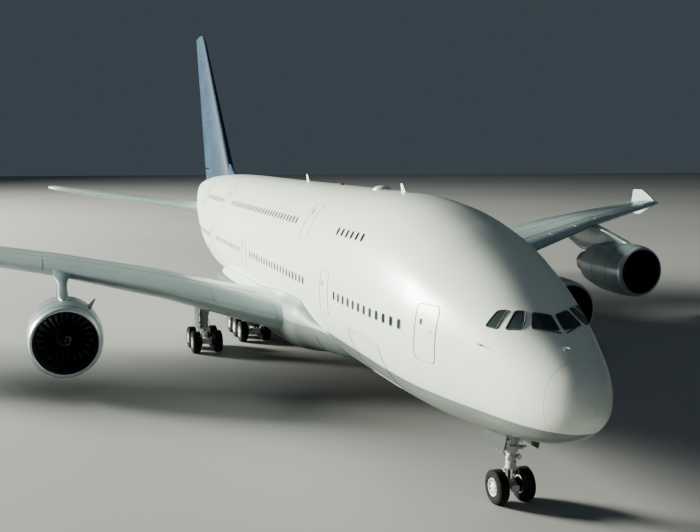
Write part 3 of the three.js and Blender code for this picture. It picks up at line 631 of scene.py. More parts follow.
# %% The hull's frames
# Columns: s, half width, bottom z, top z, z of the widest point
HULL = [
    [0, 0, 4.7, 4.7, 4.7], [0.06, 0.3, 4.44, 5.03, 4.71], [0.25, 0.6, 4.18, 5.44, 4.72],
    [0.55, 0.93, 3.86, 5.8, 4.76], [1, 1.26, 3.56, 6.16, 4.81], [2, 1.74, 3.15, 6.84, 4.94],
    [3, 2.08, 2.93, 7.54, 5.14], [4, 2.38, 2.77, 8.14, 5.35], [6, 2.92, 2.55, 9.07, 5.6],
    [8, 3.3, 2.42, 9.8, 5.75], [11, 3.52, 2.35, 10.47, 5.88], [14, 3.57, 2.35, 10.72, 5.92],
    [18, 3.57, 2.35, 10.76, 5.92], [42, 3.57, 2.35, 10.76, 5.92], [46, 3.52, 2.5, 10.76, 5.98],
    [50, 3.35, 2.95, 10.72, 6.2], [54, 3.02, 3.7, 10.62, 6.6], [58, 2.55, 4.6, 10.45, 7.1],
    [62, 1.95, 5.65, 10.18, 7.7], [66, 1.25, 6.75, 9.8, 8.2], [69, 0.65, 7.6, 9.45, 8.5],
    [70.6, 0.4, 8.2, 9.1, 8.65],
]
TAIL_END = HULL[-1][0]
HULL_POWERS = (2.3, 2.05)  # of the upper and the lower half
HULL_AROUND = 160
RING_STEP = 0.045  # between rings, in square roots of s
hull_frame = smooth_table(HULL, np.sqrt)


def half_of(row, z, powers, out=0.0):
    half, bottom, top, wide = row
    upper = z > wide
    return half + out, powers[0 if upper else 1], (top - wide if upper else wide - bottom) + out


def frame_ring(row, s, powers, around):
    wide = row[3]
    points = []
    for turn in circle_turns(around):
        across, up = math.sin(turn), math.cos(turn)
        half, power, rise = half_of(row, wide + up, powers)
        x = math.copysign(abs(across) ** (2 / power), across) * half
        points.append((x, s, wide + math.copysign(abs(up) ** (2 / power), up) * rise))
    return points


def hull_rings(start, end):
    first, last = math.sqrt(start), math.sqrt(end)
    count = max(2, math.ceil((last - first) / RING_STEP))
    places = [(first + (last - first) * k / count) ** 2 for k in range(count + 1)]
    return [frame_ring(hull_frame(s), s, HULL_POWERS, HULL_AROUND) for s in places]


print("the hull's table has", len(HULL), "frames")

# %% [markdown]
# The hull comes in five lengths, with a thin open seam where two meet. The nose gear's bay is
# cut from one of them, and a hold from two.

# %% Cut and build the hull's lengths
SEAM = 0.006
RADOME_END, FORWARD_END, CENTRE_END, REAR_END = 1.0, 21.6, 42, 62
HULL_LENGTHS = {
    "nose_radome": (0, RADOME_END - SEAM),
    "forward_fuselage": (RADOME_END + SEAM, FORWARD_END - SEAM),
    "centre_fuselage": (FORWARD_END + SEAM, CENTRE_END - SEAM),
    "rear_fuselage": (CENTRE_END + SEAM, REAR_END - SEAM),
    "tail_cone": (REAR_END + SEAM, TAIL_END),
}
BAY_HALF, BAY_FRONT, BAY_BACK, BAY_ROOF = 0.72, 1.9, 5.95, 3.9
CARGO_DOORS = {"forward_cargo_door": (9.95, 13.05), "aft_cargo_door": (48.4, 51.2)}
CARGO_BOTTOM, CARGO_TOP, CARGO_GAP, CARGO_CORNER = 3.3, 4.95, 0.024, 0.16
HOLD_WALL, OUTSIDE = 2.0, 4.2


def rounded_outline(low, high, corner, steps=6):
    """A rectangle with round corners, as (a, b) points that go round once."""
    points = []
    corners = [(high[0], high[1]), (low[0], high[1]), (low[0], low[1]), (high[0], low[1])]
    for quarter, (a, b) in enumerate(corners):
        middle_a = a - math.copysign(corner, a - (low[0] + high[0]) / 2)
        middle_b = b - math.copysign(corner, b - (low[1] + high[1]) / 2)
        for k in range(steps + 1):
            turn = math.pi / 2 * (quarter + k / steps)
            points.append((middle_a + corner * math.cos(turn), middle_b + corner * math.sin(turn)))
    return points


def cargo_outline(front, back, out=0.0, corner=CARGO_CORNER):
    return rounded_outline((front - out, CARGO_BOTTOM - out), (back + out, CARGO_TOP + out), corner)


def door_hole(front, back):
    outline = cargo_outline(front, back, CARGO_GAP)
    rings = [[(x, s, z) for s, z in outline] for x in (-OUTSIDE, -HOLD_WALL)]
    return build("hole", Shape().loft(rings), [LINER])


def hull_length(name, start, end):
    made = build(name + "_skin", Shape().loft(hull_rings(start, end)), [HULL_PAINT])
    if name == "forward_fuselage":
        bay = Shape().block((-BAY_HALF, BAY_FRONT, 2), (BAY_HALF, BAY_BACK, BAY_ROOF))
        trim(made, build("bay", bay, [LINER]))
    for front, back in CARGO_DOORS.values():
        if start < front < end:
            trim(made, door_hole(front, back))
    return settle(made, "white_paint", name)


for length_name, (length_start, length_end) in HULL_LENGTHS.items():
    hull_length(length_name, length_start, length_end)

# %% [markdown]
# ## Finding a place on the hull
# Doors, panes and probes sit on the skin. A ray cast at the mesh would find it too, but the
# frames' own formula is exact. `hull_x` gives the skin's x at a level, and `on_hull` walks
# out from a point inside, which works on the nose too.

# %% Places on the hull
NOSE_EYE = np.array((0, 4.6, 6.0))


def hull_depth(point, out=0.0):
    """Below zero inside the hull, zero on its skin, and above it outside."""
    x, s, z = point
    if s <= 0 or s > LENGTH:
        return 1.0
    row = hull_frame(s)
    half, power, rise = half_of(row, z, HULL_POWERS, out)
    return (abs(x) / half) ** power + (abs(z - row[3]) / rise) ** power - 1


def skin_x(row, z, powers, out=0.0):
    half, power, rise = half_of(row, z, powers, out)
    return half * max(0, 1 - (abs(z - row[3]) / rise) ** power) ** (1 / power)


def hull_x(s, z, side=PORT, out=0.0):
    return side * skin_x(hull_frame(s), z, HULL_POWERS, out)


def halved(is_low, low, high, rounds):
    """Closes in on the value where a test stops to hold."""
    for _ in range(rounds):
        middle = (low + high) / 2
        low, high = (middle, high) if is_low(middle) else (low, middle)
    return low


def on_hull(point, out=0.0):
    ray = np.array(point, float) - NOSE_EYE
    return NOSE_EYE + ray * halved(lambda t: hull_depth(NOSE_EYE + ray * t, out) < 0, 0.0, 3.0, 40)


print("hull half width at the wing", round(hull_x(30, 5.92), 2))

# %% [markdown]
# A panel on the skin is a loft of shrinking outlines, first outside and then back inside, so
# that it is closed and follows the curve everywhere.

# %% Panels that follow the skin
PANEL_SHARES = (0.02, 0.35, 0.7, 1)


def skin_ring(outline, side, out=0.0):
    return [(hull_x(s, z, side, out), s, z) for s, z in outline]


def divided(outline, step=0.12):
    """An outline with extra points, so that long sides can follow a curve."""
    points = []
    for k, start in enumerate(outline):
        start, end = np.array(start), np.array(outline[(k + 1) % len(outline)])
        pieces = max(1, math.ceil(math.dist(start, end) / step))
        points.extend([tuple(start + (end - start) * i / pieces) for i in range(pieces)])
    return points


def skin_panel(shape, outline, side, outer, inner, ink=0):
    outline = np.array(divided(outline))
    middle = (outline.max(axis=0) + outline.min(axis=0)) / 2
    outlines = [middle + (outline - middle) * share for share in PANEL_SHARES]
    rings = [skin_ring(points, side, outer) for points in outlines]
    rings += [skin_ring(points, side, inner) for points in outlines[::-1]]
    return shape.loft(rings, True, ink)


print("a long door side gets", len(divided([(0, 0), (0, 2)])), "points")

# %% [markdown]
# ## Flight deck windows
# Six panes wrap the nose. Flat glass would stand off it, so each pane is drawn by its
# corners to starboard, rounded and pushed out to the skin. Port takes the mirror image.

# %% Panes
# Corners of each pane as x, s, z
PANES = [
    [(-0.93, 2.39, 6.94), (-0.08, 2.08, 6.89), (-0.08, 2.60, 7.30), (-0.66, 2.84, 7.37)],
    [(-1.57, 2.94, 6.84), (-1.22, 2.60, 6.90), (-1.01, 2.65, 7.09), (-0.82, 2.96, 7.40),
     (-1.10, 3.15, 7.40)],
    [(-1.96, 3.60, 6.86), (-1.76, 3.19, 6.83), (-1.27, 3.32, 7.41), (-1.54, 3.54, 7.37)],
]
PANE_CORNER, PANE_SHARES = 0.09, (0.02, 0.3, 0.6, 0.85, 1)
PANE_OUT, PANE_IN, PANE_SEAL_OUT = 0.016, -0.05, 0.014


def rounded_corners(corners, radius, steps=4):
    """Corners eased by short curves, each drawn through its corner's two neighbours."""
    corners = [np.array(c, float) for c in corners]
    points = []
    for k, corner in enumerate(corners):
        before, after = corners[k - 1] - corner, corners[(k + 1) % len(corners)] - corner
        start = corner + before / np.linalg.norm(before) * radius
        end = corner + after / np.linalg.norm(after) * radius
        for t in [i / steps for i in range(steps + 1)]:
            points.append(start * (1 - t) ** 2 + corner * 2 * t * (1 - t) + end * t ** 2)
    return points


def pane(shape, corners):
    """Adds one pane and returns the line of its seal."""
    outline = np.array(divided(rounded_corners(corners, PANE_CORNER), 0.08))
    middle = outline.mean(axis=0)
    outer = [[on_hull(p, PANE_OUT) for p in middle + (outline - middle) * share] for share in PANE_SHARES]
    shape.loft([*outer, [on_hull(p, PANE_IN) for p in outline]])
    return [on_hull(p, PANE_SEAL_OUT) for p in outline]


glazing = Shape()
pane_rims = [pane(glazing, corners) for corners in PANES]
glazing.join(glazing.mirrored())
piece("flight_deck_panes", glazing, [COCKPIT_GLASS], "cockpit_glass", "flight_deck_glazing")

# %% [markdown]
# ## Seams from lines
# Seals, door outlines and panel lines are all thin beads. A curve object with a bevel would
# do, but one node tree turns any set of edges into beads, so we only have to draw lines.

# %% The bead tree
BEAD_SIDES = 6
SEAL_RADIUS = 0.022


def bead_tree():
    grower = Grower("bead", {"Radius": "Float", "Finish": "Material"})
    curve = grower.node("GeometryNodeMeshToCurve", {}, {"Mesh": grower.input("Geometry")})
    circle = {"Resolution": BEAD_SIDES, "Radius": grower.input("Radius")}
    ring = grower.node("GeometryNodeCurvePrimitiveCircle", {}, circle)
    sweep = {"Curve": curve, "Profile Curve": ring, "Fill Caps": True}
    return grower.end(grower.node("GeometryNodeCurveToMesh", {}, sweep))


BEAD = bead_tree()


def beads(name, lines, radius, finish):
    """Thin beads along lines of full-size points; a line says whether it closes."""
    mesh = bpy.data.meshes.new(name + "_lines")
    points, edges = [], []
    for line, closes in lines:
        start = len(points)
        points.extend(line)
        edges.extend([(start + k, start + k + 1) for k in range(len(line) - 1)])
        if closes:
            edges.append((start + len(line) - 1, start))
    mesh.from_pydata(to_frame(points).tolist(), edges, [])
    return grow(name, BEAD, finish, mesh, Radius=radius * SCALE)


def both_sides(line, closes=False):
    return [(line, closes), ([np.array(p) * (-1, 1, 1) for p in line], closes)]


seal_lines = [line for rim in pane_rims for line in both_sides(rim, True)]
settle(beads("flight_deck_seals", seal_lines, SEAL_RADIUS, SEAL), "white_paint")

# %% [markdown]
# ## Passenger and service doors
# Eight pairs of doors, five on the main deck and three above. They stay shut, so each could
# be painted on, but a real bead throws a real shadow. A small window and a handle complete it.

# %% Door outlines, handles and windows
# Columns: sill, head, front edge of each door
DOOR_DECKS = [(5.15, 7.18, [5.65, 15.8, 33.2, 44.6, 55.2]), (8.15, 9.95, [20.3, 41.7, 51.7])]
DOOR_WIDTH, DOOR_CORNER, DOOR_BEAD = 1.2, 0.2, 0.016
CARGO_FRAME = 0.16
BULK_DOOR = ((52.6, 4.5), (53.6, 5.5), 0.12)
LINE_OUT = 0.002


def door_fittings(front, sill):
    middle = front + DOOR_WIDTH / 2
    handle = rounded_outline((front + 0.2, sill + 1.08), (front + 0.42, sill + 1.16), 0.03)
    return handle, rounded_outline((middle + 0.2, sill + 1.28), (middle + 0.34, sill + 1.5), 0.06)


door_lines, door_handles, door_windows = [], Shape(), Shape()
for sill, head, fronts in DOOR_DECKS:
    for front in fronts:
        outline = divided(rounded_outline((front, sill), (front + DOOR_WIDTH, head), DOOR_CORNER))
        handle, window = door_fittings(front, sill)
        for side in (STARBOARD, PORT):
            door_lines.append((skin_ring(outline, side, LINE_OUT), True))
            skin_panel(door_handles, handle, side, 0.014, -0.02)
            skin_panel(door_windows, window, side, 0.01, -0.02)
for front, back in CARGO_DOORS.values():
    outline = divided(cargo_outline(front, back, CARGO_FRAME, DOOR_CORNER))
    door_lines.append((skin_ring(outline, STARBOARD), True))
door_lines.append((skin_ring(divided(rounded_outline(*BULK_DOOR)), STARBOARD, LINE_OUT), True))
settle(beads("door_outlines", door_lines, DOOR_BEAD, SEAL_GREY_AND_SWIRL_SHADE), "white_paint")
piece("door_handles", door_handles, [WINDOW_FRAME], "white_paint")
piece("door_windows", door_windows, [CABIN_GLASS], "cockpit_glass")

# %% [markdown]
# ## Cabin windows
# Two rows of small windows run along each side. Cutting two hundred holes would be slow, and
# a dark pane in a thin frame looks the same. The tree draws a line of points outside the
# hull, shoots a ray inwards from each, and sets a window where it lands, facing outwards.

# %% The window tree
def window_tree():
    inputs = {"Hull": "Object", "Window": "Object", "Start": "Vector", "Pitch": "Vector",
              "Count": "Int", "Inwards": "Vector", "Finish": "Material"}
    grower = Grower("windows", inputs)
    row = {"Count": "Count", "Start Location": "Start", "Offset": "Pitch"}
    row = {socket: grower.input(label) for socket, label in row.items()}
    line = grower.node("GeometryNodeMeshLine", {}, row)
    cast = {"Target Geometry": grower.object("Hull"), "Ray Direction": grower.input("Inwards"),
            "Ray Length": 10.0}
    landed = grower.node("GeometryNodeRaycast", {}, cast, "Hit Position")
    axes = {"primary_axis": "Z", "secondary_axis": "Y"}
    skin_way = {0: landed.node.outputs["Hit Normal"], 1: (0, 0, 1)}
    faced = grower.node("FunctionNodeAxesToRotation", axes, skin_way)
    capture = grower.node("GeometryNodeCaptureAttribute", {}, {"Geometry": line}).node
    for kind, label, value in (("ROTATION", "Facing", faced), ("VECTOR", "Place", landed)):
        capture.capture_items.new(kind, label)
        grower.tree.links.new(value, capture.inputs[label])
    seat = {"Geometry": capture.outputs["Geometry"], "Position": capture.outputs["Place"]}
    seated = grower.node("GeometryNodeSetPosition", {}, seat)
    placed = {"Points": seated, "Instance": grower.object("Window"),
              "Rotation": capture.outputs["Facing"]}
    return grower.end(grower.node("GeometryNodeInstanceOnPoints", {}, placed))


WINDOW_TREE = window_tree()
print("the window tree has", len(WINDOW_TREE.nodes), "nodes")

# %% [markdown]
# A frame and a pane are drawn once as stencils, a few rings in their own plane, and the tree
# copies them along all the rows of `WINDOW_RUNS`.

# %% Window stencils and the rows
WINDOW_PITCH = 0.635
WINDOW_HALF_WIDTH, WINDOW_HALF_HEIGHT, WINDOW_CORNER = 0.135, 0.19, 0.11
# Rings as (growth of the outline, lift off the skin)
FRAME_RINGS = [(0.03, -0.02), (0.03, 0.006), (0.02, 0.01), (0.0, 0.01), (0.0, -0.02)]
PANE_RINGS = [(0.0, -0.02), (0.0, 0.008), (-0.015, 0.009)]
MAIN_LEVEL, UPPER_LEVEL = 6.22, 8.97
# Runs of windows as level z, first s, count
WINDOW_RUNS = [(MAIN_LEVEL, 7.89, 12), (MAIN_LEVEL, 19.9, 20), (MAIN_LEVEL, 35.2, 14),
               (MAIN_LEVEL, 46.6, 13), (UPPER_LEVEL, 12.9, 6), (UPPER_LEVEL, 23.1, 28),
               (UPPER_LEVEL, 43.7, 12)]


def stencil(name, profile):
    """A window's rings, in its own frame: x along the hull, y up it, z outwards."""
    rings = []
    for growth, lift in profile:
        half_width, half_height = WINDOW_HALF_WIDTH + growth, WINDOW_HALF_HEIGHT + growth
        low, high = (-half_width, -half_height), (half_width, half_height)
        ring = rounded_outline(low, high, WINDOW_CORNER + growth, 4)
        rings.append([(a, b + LENGTH / 2, lift) for a, b in ring])
    return build(name, Shape().loft(rings), [WINDOW_FRAME])


def window_rows(name, window, finish):
    joined = bmesh.new()
    for number, (level, start, count) in enumerate(WINDOW_RUNS):
        for side in (STARBOARD, PORT):
            first = to_frame([(side * 6, start, level)])[0]
            values = {"Hull": hull_form, "Window": window, "Start": tuple(first), "Count": count,
                      "Pitch": (0, WINDOW_PITCH * SCALE, 0), "Inwards": (-side, 0, 0)}
            row = grow(f"{name}_{number}", WINDOW_TREE, finish, **values)
            joined.from_mesh(row.data)
            bpy.data.objects.remove(row)
    mesh = bpy.data.meshes.new(name)
    joined.to_mesh(mesh)
    joined.free()
    return add_object(name, mesh, [finish])


hull_form = build("hull_form", Shape().loft(hull_rings(4, REAR_END)), [HULL_PAINT])
frame_stencil, pane_stencil = stencil("frame_stencil", FRAME_RINGS), stencil("pane_stencil", PANE_RINGS)
frames = window_rows("cabin_window_frames", frame_stencil, WINDOW_FRAME)
settle(frames, "white_paint")
panes = window_rows("cabin_window_panes", pane_stencil, CABIN_GLASS)
settle(panes, "cockpit_glass")
for helper in (hull_form, frame_stencil, pane_stencil):
    bpy.data.objects.remove(helper)

# %% [markdown]
# ## Wings, tailplane and fin
# Each is a panel: aerofoils at a few stations, joined by a skin. `Panel.point` gives a place
# from a station, a share of the chord and a height off the chord line. The skin and the hinge
# lines both come from it, so they always fit.

# %% A panel and its aerofoils
# The usual four-digit aerofoil: how its thickness grows along the chord
AEROFOIL_ROOT, AEROFOIL = 0.2969, (-0.126, -0.3516, 0.2843, -0.1021)
TWIST_AXIS = 0.4


class Panel:
    def __init__(self, rows, camber=0.0, upright=False):
        self.rows = np.array(rows, float)
        self.camber = camber
        self.upright = upright

    def row(self, station):
        """Lead, chord, level, thickness and twist, also a little past either end."""
        rows = self.rows
        k = int(np.clip(np.searchsorted(rows[:, 0], station) - 1, 0, len(rows) - 2))
        share = (station - rows[k, 0]) / (rows[k + 1, 0] - rows[k, 0])
        return (rows[k] + share * (rows[k + 1] - rows[k]))[1:]

    def half_thickness(self, station, share):
        curve = AEROFOIL_ROOT * math.sqrt(share)
        curve += sum(factor * share ** (k + 1) for k, factor in enumerate(AEROFOIL))
        return 5 * self.row(station)[3] * curve

    def mean(self, share):
        return self.camber * 4 * share * (1 - share)

    def point(self, station, share, height):
        lead, chord, level, _, twist = self.row(station)
        turn = math.radians(twist)
        back = (share - TWIST_AXIS) * chord
        s = lead + TWIST_AXIS * chord + back * math.cos(turn) + height * chord * math.sin(turn)
        rise = level - back * math.sin(turn) + height * chord * math.cos(turn)
        return np.array((rise, s, station) if self.upright else (station, s, rise))

    def skin(self, station, share, side=1, out=0.0):
        """A place on the upper (1) or lower (-1) skin, or a distance out from it."""
        lift = self.half_thickness(station, share) + out / self.row(station)[1]
        return self.point(station, share, self.mean(share) + side * lift)

    def section(self, station, first=0.0, last=1.0, count=26):
        """A closed ring: the upper skin forwards, then the lower skin back."""
        waves = [(1 - math.cos(math.pi * k / count)) / 2 for k in range(count + 1)]
        shares = [first + (last - first) * wave for wave in waves]
        upper = [self.skin(station, share) for share in shares[::-1]]
        return upper + [self.skin(station, share, -1) for share in shares[0 if first else 1:]]

    def stations(self, first, last, step=0.9):
        """Stations from first to last that hit every row between them."""
        stops = [first, *[u for u in self.rows[:, 0] if first < u < last], last]
        places = [first]
        for start, end in zip(stops, stops[1:]):
            pieces = max(1, math.ceil((end - start) / step))
            places.extend([start + (end - start) * k / pieces for k in range(1, pieces + 1)])
        return places

    def solid(self, first, last, front=0.0):
        return Shape().loft([self.section(u, front) for u in self.stations(first, last)])


# Columns: station, s of the leading edge, chord, level of the chord line, thickness, twist
WING = Panel([[2.8, 20.9, 18.6, 3.2, 0.12, 4.4], [5.2, 22.85, 17.0, 3.68, 0.112, 4.1],
              [9.5, 26.2, 14.2, 4.68, 0.108, 3.5], [14.9, 30.4, 11.0, 5.62, 0.108, 2.0],
              [26, 38.45, 7.8, 6.9, 0.1, 0.8], [39.72, 48.4, 4.0, 7.85, 0.095, 0]], camber=0.012)
TAILPLANE = Panel([[0.9, 57.75, 10.9, 7.3, 0.1, 0], [2.4, 59.1, 10.2, 7.43, 0.1, 0],
                   [14.6, 68.05, 4.4, 9.03, 0.095, 0], [15.19, 69.1, 3.3, 9.08, 0.07, 0]])
FIN = Panel([[8.9, 53.2, 14.5, 0, 0.1, 0], [10.6, 54.9, 13.4, 0, 0.1, 0],
             [23.3, 67.45, 4.98, 0, 0.1, 0], [24.09, 68.7, 4.02, 0, 0.07, 0]], upright=True)
DORSAL = Panel([[9.9, 51.0, 12, 0, 0.055, 0], [10.7, 53.2, 8, 0, 0.07, 0], [11.0, 54.3, 6, 0, 0.08, 0],
                [11.5, 55.4, 4, 0, 0.05, 0]], upright=True)
print("wing root chord", WING.rows[0][2], "tip chord", WING.rows[-1][2])

# %% [markdown]
# ## Surfaces that swing
# An aileron turns in a hollow that is round about the hinge, so the gap stays thin at every
# angle. Both are drawn in planes square to the hinge line, so that the ends never close on
# the rib beside them. Only the lower rudder's foot is level, with more room under it.

# %% A hinged surface and the space it swings in
RUN_GAP = 0.016
LIP_ANGLE = math.radians(58)
FOOT_GAP = 0.14


class Hinged:
    def __init__(self, panel, first, last, hinge, level_foot=False):
        self.panel = panel
        self.hinge = hinge
        self.level_foot = level_foot
        self.start, end = [panel.point(u, hinge, panel.mean(hinge)) for u in (first, last)]
        self.length = np.linalg.norm(end - self.start)
        self.way = (end - self.start) / self.length
        back = np.array((0, 1, 0)) - self.way * self.way[1]
        self.back = back / np.linalg.norm(back)
        self.up = np.cross(self.way, self.back) * (-1 if panel.upright else 1)

    def frame(self, along):
        """The hinge point at a distance, its station, and the normal of its plane."""
        centre = self.start + self.way * along
        share = min(max(along / self.length, 0), 1) if self.level_foot else 1
        normal = self.way * share + np.array((0, 0, 1)) * (1 - share)
        return centre, centre[2 if self.panel.upright else 0], normal

    def radius(self, station):
        return self.panel.half_thickness(station, self.hinge) * self.panel.row(station)[1]

    def at_angle(self, along, angle, reach):
        """A place at an angle up from dead ahead of the hinge, slid into the ring's plane."""
        centre, _, normal = self.frame(along)
        arm = (self.up * math.sin(angle) - self.back * math.cos(angle)) * reach
        return centre + arm - self.way * arm.dot(normal) / self.way.dot(normal)

    def on_skin(self, along, share, side):
        """The panel's skin at a share of the chord, where the ring's plane meets it."""
        centre, station, normal = self.frame(along)
        step = 0.5
        for _ in range(3):
            here, there = [self.panel.skin(station + d, share, side) for d in (0, step)]
            station -= (here - centre).dot(normal) * step / (there - here).dot(normal)
        return self.panel.skin(station, share, side)

    def blade_ring(self, along):
        radius = self.radius(self.frame(along)[1])
        shares = [self.hinge + (1 - self.hinge) * (k / 8) ** 1.3 for k in range(1, 9)]
        nose = [self.at_angle(along, math.pi / 2 - math.pi * k / 12, radius) for k in range(13)]
        upper = [self.on_skin(along, share, 1) for share in shares[::-1]]
        return upper + nose + [self.on_skin(along, share, -1) for share in shares]

    def space_ring(self, along):
        _, station, _ = self.frame(along)
        radius = self.radius(station) + RUN_GAP
        behind = self.panel.row(station)[1] * (1 - self.hinge) * 1.25
        arc = [self.at_angle(along, LIP_ANGLE * (1 - k / 6), radius) for k in range(13)]
        tall = radius * 3 * math.sin(LIP_ANGLE)
        corner, reach = math.atan2(tall, behind), math.hypot(tall, behind)
        upper, lower = [self.at_angle(along, side * LIP_ANGLE, radius * 3) for side in (1, -1)]
        far_up, far_down = [self.at_angle(along, math.pi - side * corner, reach) for side in (1, -1)]
        return [*arc, lower, far_down, far_up, upper]

    def blade(self):
        count = max(2, math.ceil(self.length / 0.8))
        return Shape().loft([self.blade_ring(self.length * k / count) for k in range(count + 1)])

    def space(self, extra=0.0):
        """The hollow; `extra` makes it longer at the far end."""
        first = -FOOT_GAP / self.way[2] if self.level_foot else -RUN_GAP
        last = self.length + RUN_GAP + extra
        count = max(2, math.ceil(self.length / 1.5))
        return Shape().loft([self.space_ring(first + (last - first) * k / count) for k in range(count + 1)])


AILERON = Hinged(WING, 27.6, 37.4, 0.76)
ELEVATOR = Hinged(TAILPLANE, 2.9, 14.4, 0.7)
LOWER_RUDDER = Hinged(FIN, 11.0, 17.2, 0.66, level_foot=True)
UPPER_RUDDER = Hinged(FIN, 17.25, 23.2, 0.66)
print("aileron", round(AILERON.length, 2), "m along its hinge")

# %% [markdown]
# A hollow is a Boolean cut, so it is only as clean as its cutter. `handed` builds a shape
# for port as drawn, or for starboard mirrored, so each side is written only once.

# %% The fin, the tailplanes and what swings on them
HANDS = {"left": PORT, "right": STARBOARD}


def ends(panel):
    return panel.rows[0][0], panel.rows[-1][0]


def handed(shape, hand):
    return shape if hand == PORT else shape.mirrored()


def cut_panel(name, shape, hand, spaces, finish):
    made = build(name, handed(shape, hand), [finish])
    for number, space in enumerate(spaces):
        trim(made, build(f"{name}_space_{number}", handed(space, hand), [SEAL]))
    return made


fin_spaces = [LOWER_RUDDER.space(extra=0.06), UPPER_RUDDER.space()]
fin = cut_panel("fin_skin", FIN.solid(*ends(FIN)), PORT, fin_spaces, FIN_PAINT)
settle(fin, "fin_paint", "fin")
piece("fin_fillet", DORSAL.solid(*ends(DORSAL)), [FIN_PAINT], "fin_paint")
for rudder_name, rudder in (("lower_rudder", LOWER_RUDDER), ("upper_rudder", UPPER_RUDDER)):
    piece(rudder_name + "_skin", rudder.blade(), [FIN_PAINT], "fin_paint", rudder_name, body=rudder_name)

for hand_name, hand in HANDS.items():
    shape = TAILPLANE.solid(*ends(TAILPLANE))
    tail = cut_panel(f"tailplane_skin_{hand_name}", shape, hand, [ELEVATOR.space()], WING_PAINT)
    settle(tail, "wing_paint", f"tailplane_{hand_name}")
    piece(f"elevator_skin_{hand_name}", handed(ELEVATOR.blade(), hand), [WING_PAINT], "wing_paint",
          f"elevator_{hand_name}", body=f"elevator_{hand_name}")

# %% [markdown]
# ## The wings
# The box of each wing carries two flaps, an aileron, the tip fence, slats and pods. The flaps
# are pieces of the same panel, so their skin runs on from the wing's, past a thin gap.

# %% Wing boxes, flaps and ailerons
# First and last station, and the share of the chord where each flap starts
FLAPS = {"inboard_flap": (4.45, 14.6, 0.81), "outboard_flap": (15.0, 26.6, 0.75)}
FLAP_GAP = 0.02
# The tip fence: corners as (s, z) from the tip's leading edge, and x with share of its size
FENCE_CORNERS = [(0.3, 0), (1.3, 0.62), (2.5, 1.2), (3.9, 1.2), (4.0, 0.55), (4.1, 0), (3.95, -0.5),
                 (3.7, -1.2), (2.7, -1.2), (1.3, -0.55)]
FENCE_LAYERS = [(39.64, 0.9), (39.66, 0.98), (39.74, 1.0), (39.82, 0.98), (39.86, 0.9)]
FENCE_CORNER, FENCE_MIDDLE = 0.16, 2.4


def flap_space(first, last, hinge):
    rings = []
    for u in WING.stations(first - FLAP_GAP, last + FLAP_GAP, 3):
        lead, chord, level, _, _ = WING.row(u)
        front, rear = lead + hinge * chord - FLAP_GAP, lead + 1.3 * chord
        low, high = level - 2, level + 2
        rings.append([(u, front, low), (u, front, high), (u, rear, high), (u, rear, low)])
    return Shape().loft(rings)


def tip_fence():
    lead, _, level, _, _ = WING.rows[-1][1:]
    outline = rounded_corners([(0, lead + s, level + z) for s, z in FENCE_CORNERS], FENCE_CORNER)
    middle = np.array((0, lead + FENCE_MIDDLE, level))
    rings = []
    for x, share in FENCE_LAYERS:
        rings.append([(x, *(middle + (p - middle) * share)[1:]) for p in outline])
    return Shape().loft(rings)


def wing_piece(name, shape, hand):
    return build(name, handed(shape, hand), [WING_PAINT])


for hand_name, hand in HANDS.items():
    spaces = [*[flap_space(*flap) for flap in FLAPS.values()], AILERON.space()]
    box = cut_panel(f"wing_skin_{hand_name}", WING.solid(*ends(WING)), hand, spaces, WING_PAINT)
    settle(box, "wing_paint", f"wing_{hand_name}")
    settle(wing_piece(f"tip_fence_{hand_name}", tip_fence(), hand), "wing_paint")
    for flap_name, flap in FLAPS.items():
        made = wing_piece(f"{flap_name}_skin_{hand_name}", WING.solid(*flap), hand)
        settle(made, "wing_paint", f"{flap_name}_{hand_name}")
    blade = wing_piece(f"aileron_skin_{hand_name}", AILERON.blade(), hand)
    settle(blade, "wing_paint", f"aileron_{hand_name}", body=f"aileron_{hand_name}")

# %% [markdown]
# Slats are thin shells over the leading edge, whose bright metal makes it shine in the
# photograph. A pod covers a flap's track: one profile of girth, read along the track.

# %% Slats, flap track pods and spoiler lines
SLAT_ENDS = [4.35, 7.2, 15.8, 19.5, 23.2, 26.7, 30.0, 33.3, 36.3, 39.0]
SLAT_JOINT, SLAT_TOP, SLAT_UNDER = 0.035, 0.11, 0.045
SLAT_OUT, SLAT_IN, SLAT_FORWARD = 0.012, -0.02, 0.014
# Places of the pods: station, length, half width, depth
TRACK_PODS = [(8.2, 6.4, 0.34, 0.62), (12.6, 6.0, 0.33, 0.6), (17.2, 5.6, 0.3, 0.55),
              (20.8, 5.1, 0.28, 0.5), (24.4, 4.7, 0.26, 0.46)]
POD_RINGS, POD_SIDES, POD_TAIL = 24, 20, 1.03
pod_girth = smooth_table([[0, 0.02], [0.08, 0.45], [0.3, 0.95], [0.5, 1], [0.8, 0.6], [0.95, 0.2],
                          [1, 0.03]])


def slat(first, last):
    line = [(SLAT_TOP * (k / 9) ** 2, 1) for k in range(9, -1, -1)]
    line += [(SLAT_UNDER * (k / 6) ** 2, -1) for k in range(1, 7)]
    rings = []
    for u in WING.stations(first, last, 1.2):
        outer = [WING.skin(u, share, side, SLAT_OUT) for share, side in line]
        for place, (share, _) in zip(outer, line):
            place[1] -= SLAT_FORWARD * (1 - share / SLAT_TOP)
        inner = [WING.skin(u, share, side, SLAT_IN) for share, side in line[::-1]]
        rings.append([*outer, *inner])
    return Shape().loft(rings)


def track_pod(station, length, half_width, depth):
    lead, chord, _, _, _ = WING.row(station)
    tail = lead + chord * POD_TAIL
    rings = []
    for t in [k / POD_RINGS for k in range(POD_RINGS + 1)]:
        s = tail - length * (1 - t)
        size = float(pod_girth(t)[0])
        floor = WING.skin(station, min((s - lead) / chord, 1), -1)[2]
        centre = floor - depth * 0.35 * size
        rings.append([(station + math.cos(a) * half_width * size, s, centre + math.sin(a) * depth * size)
                      for a in circle_turns(POD_SIDES)])
    return Shape().loft(rings)


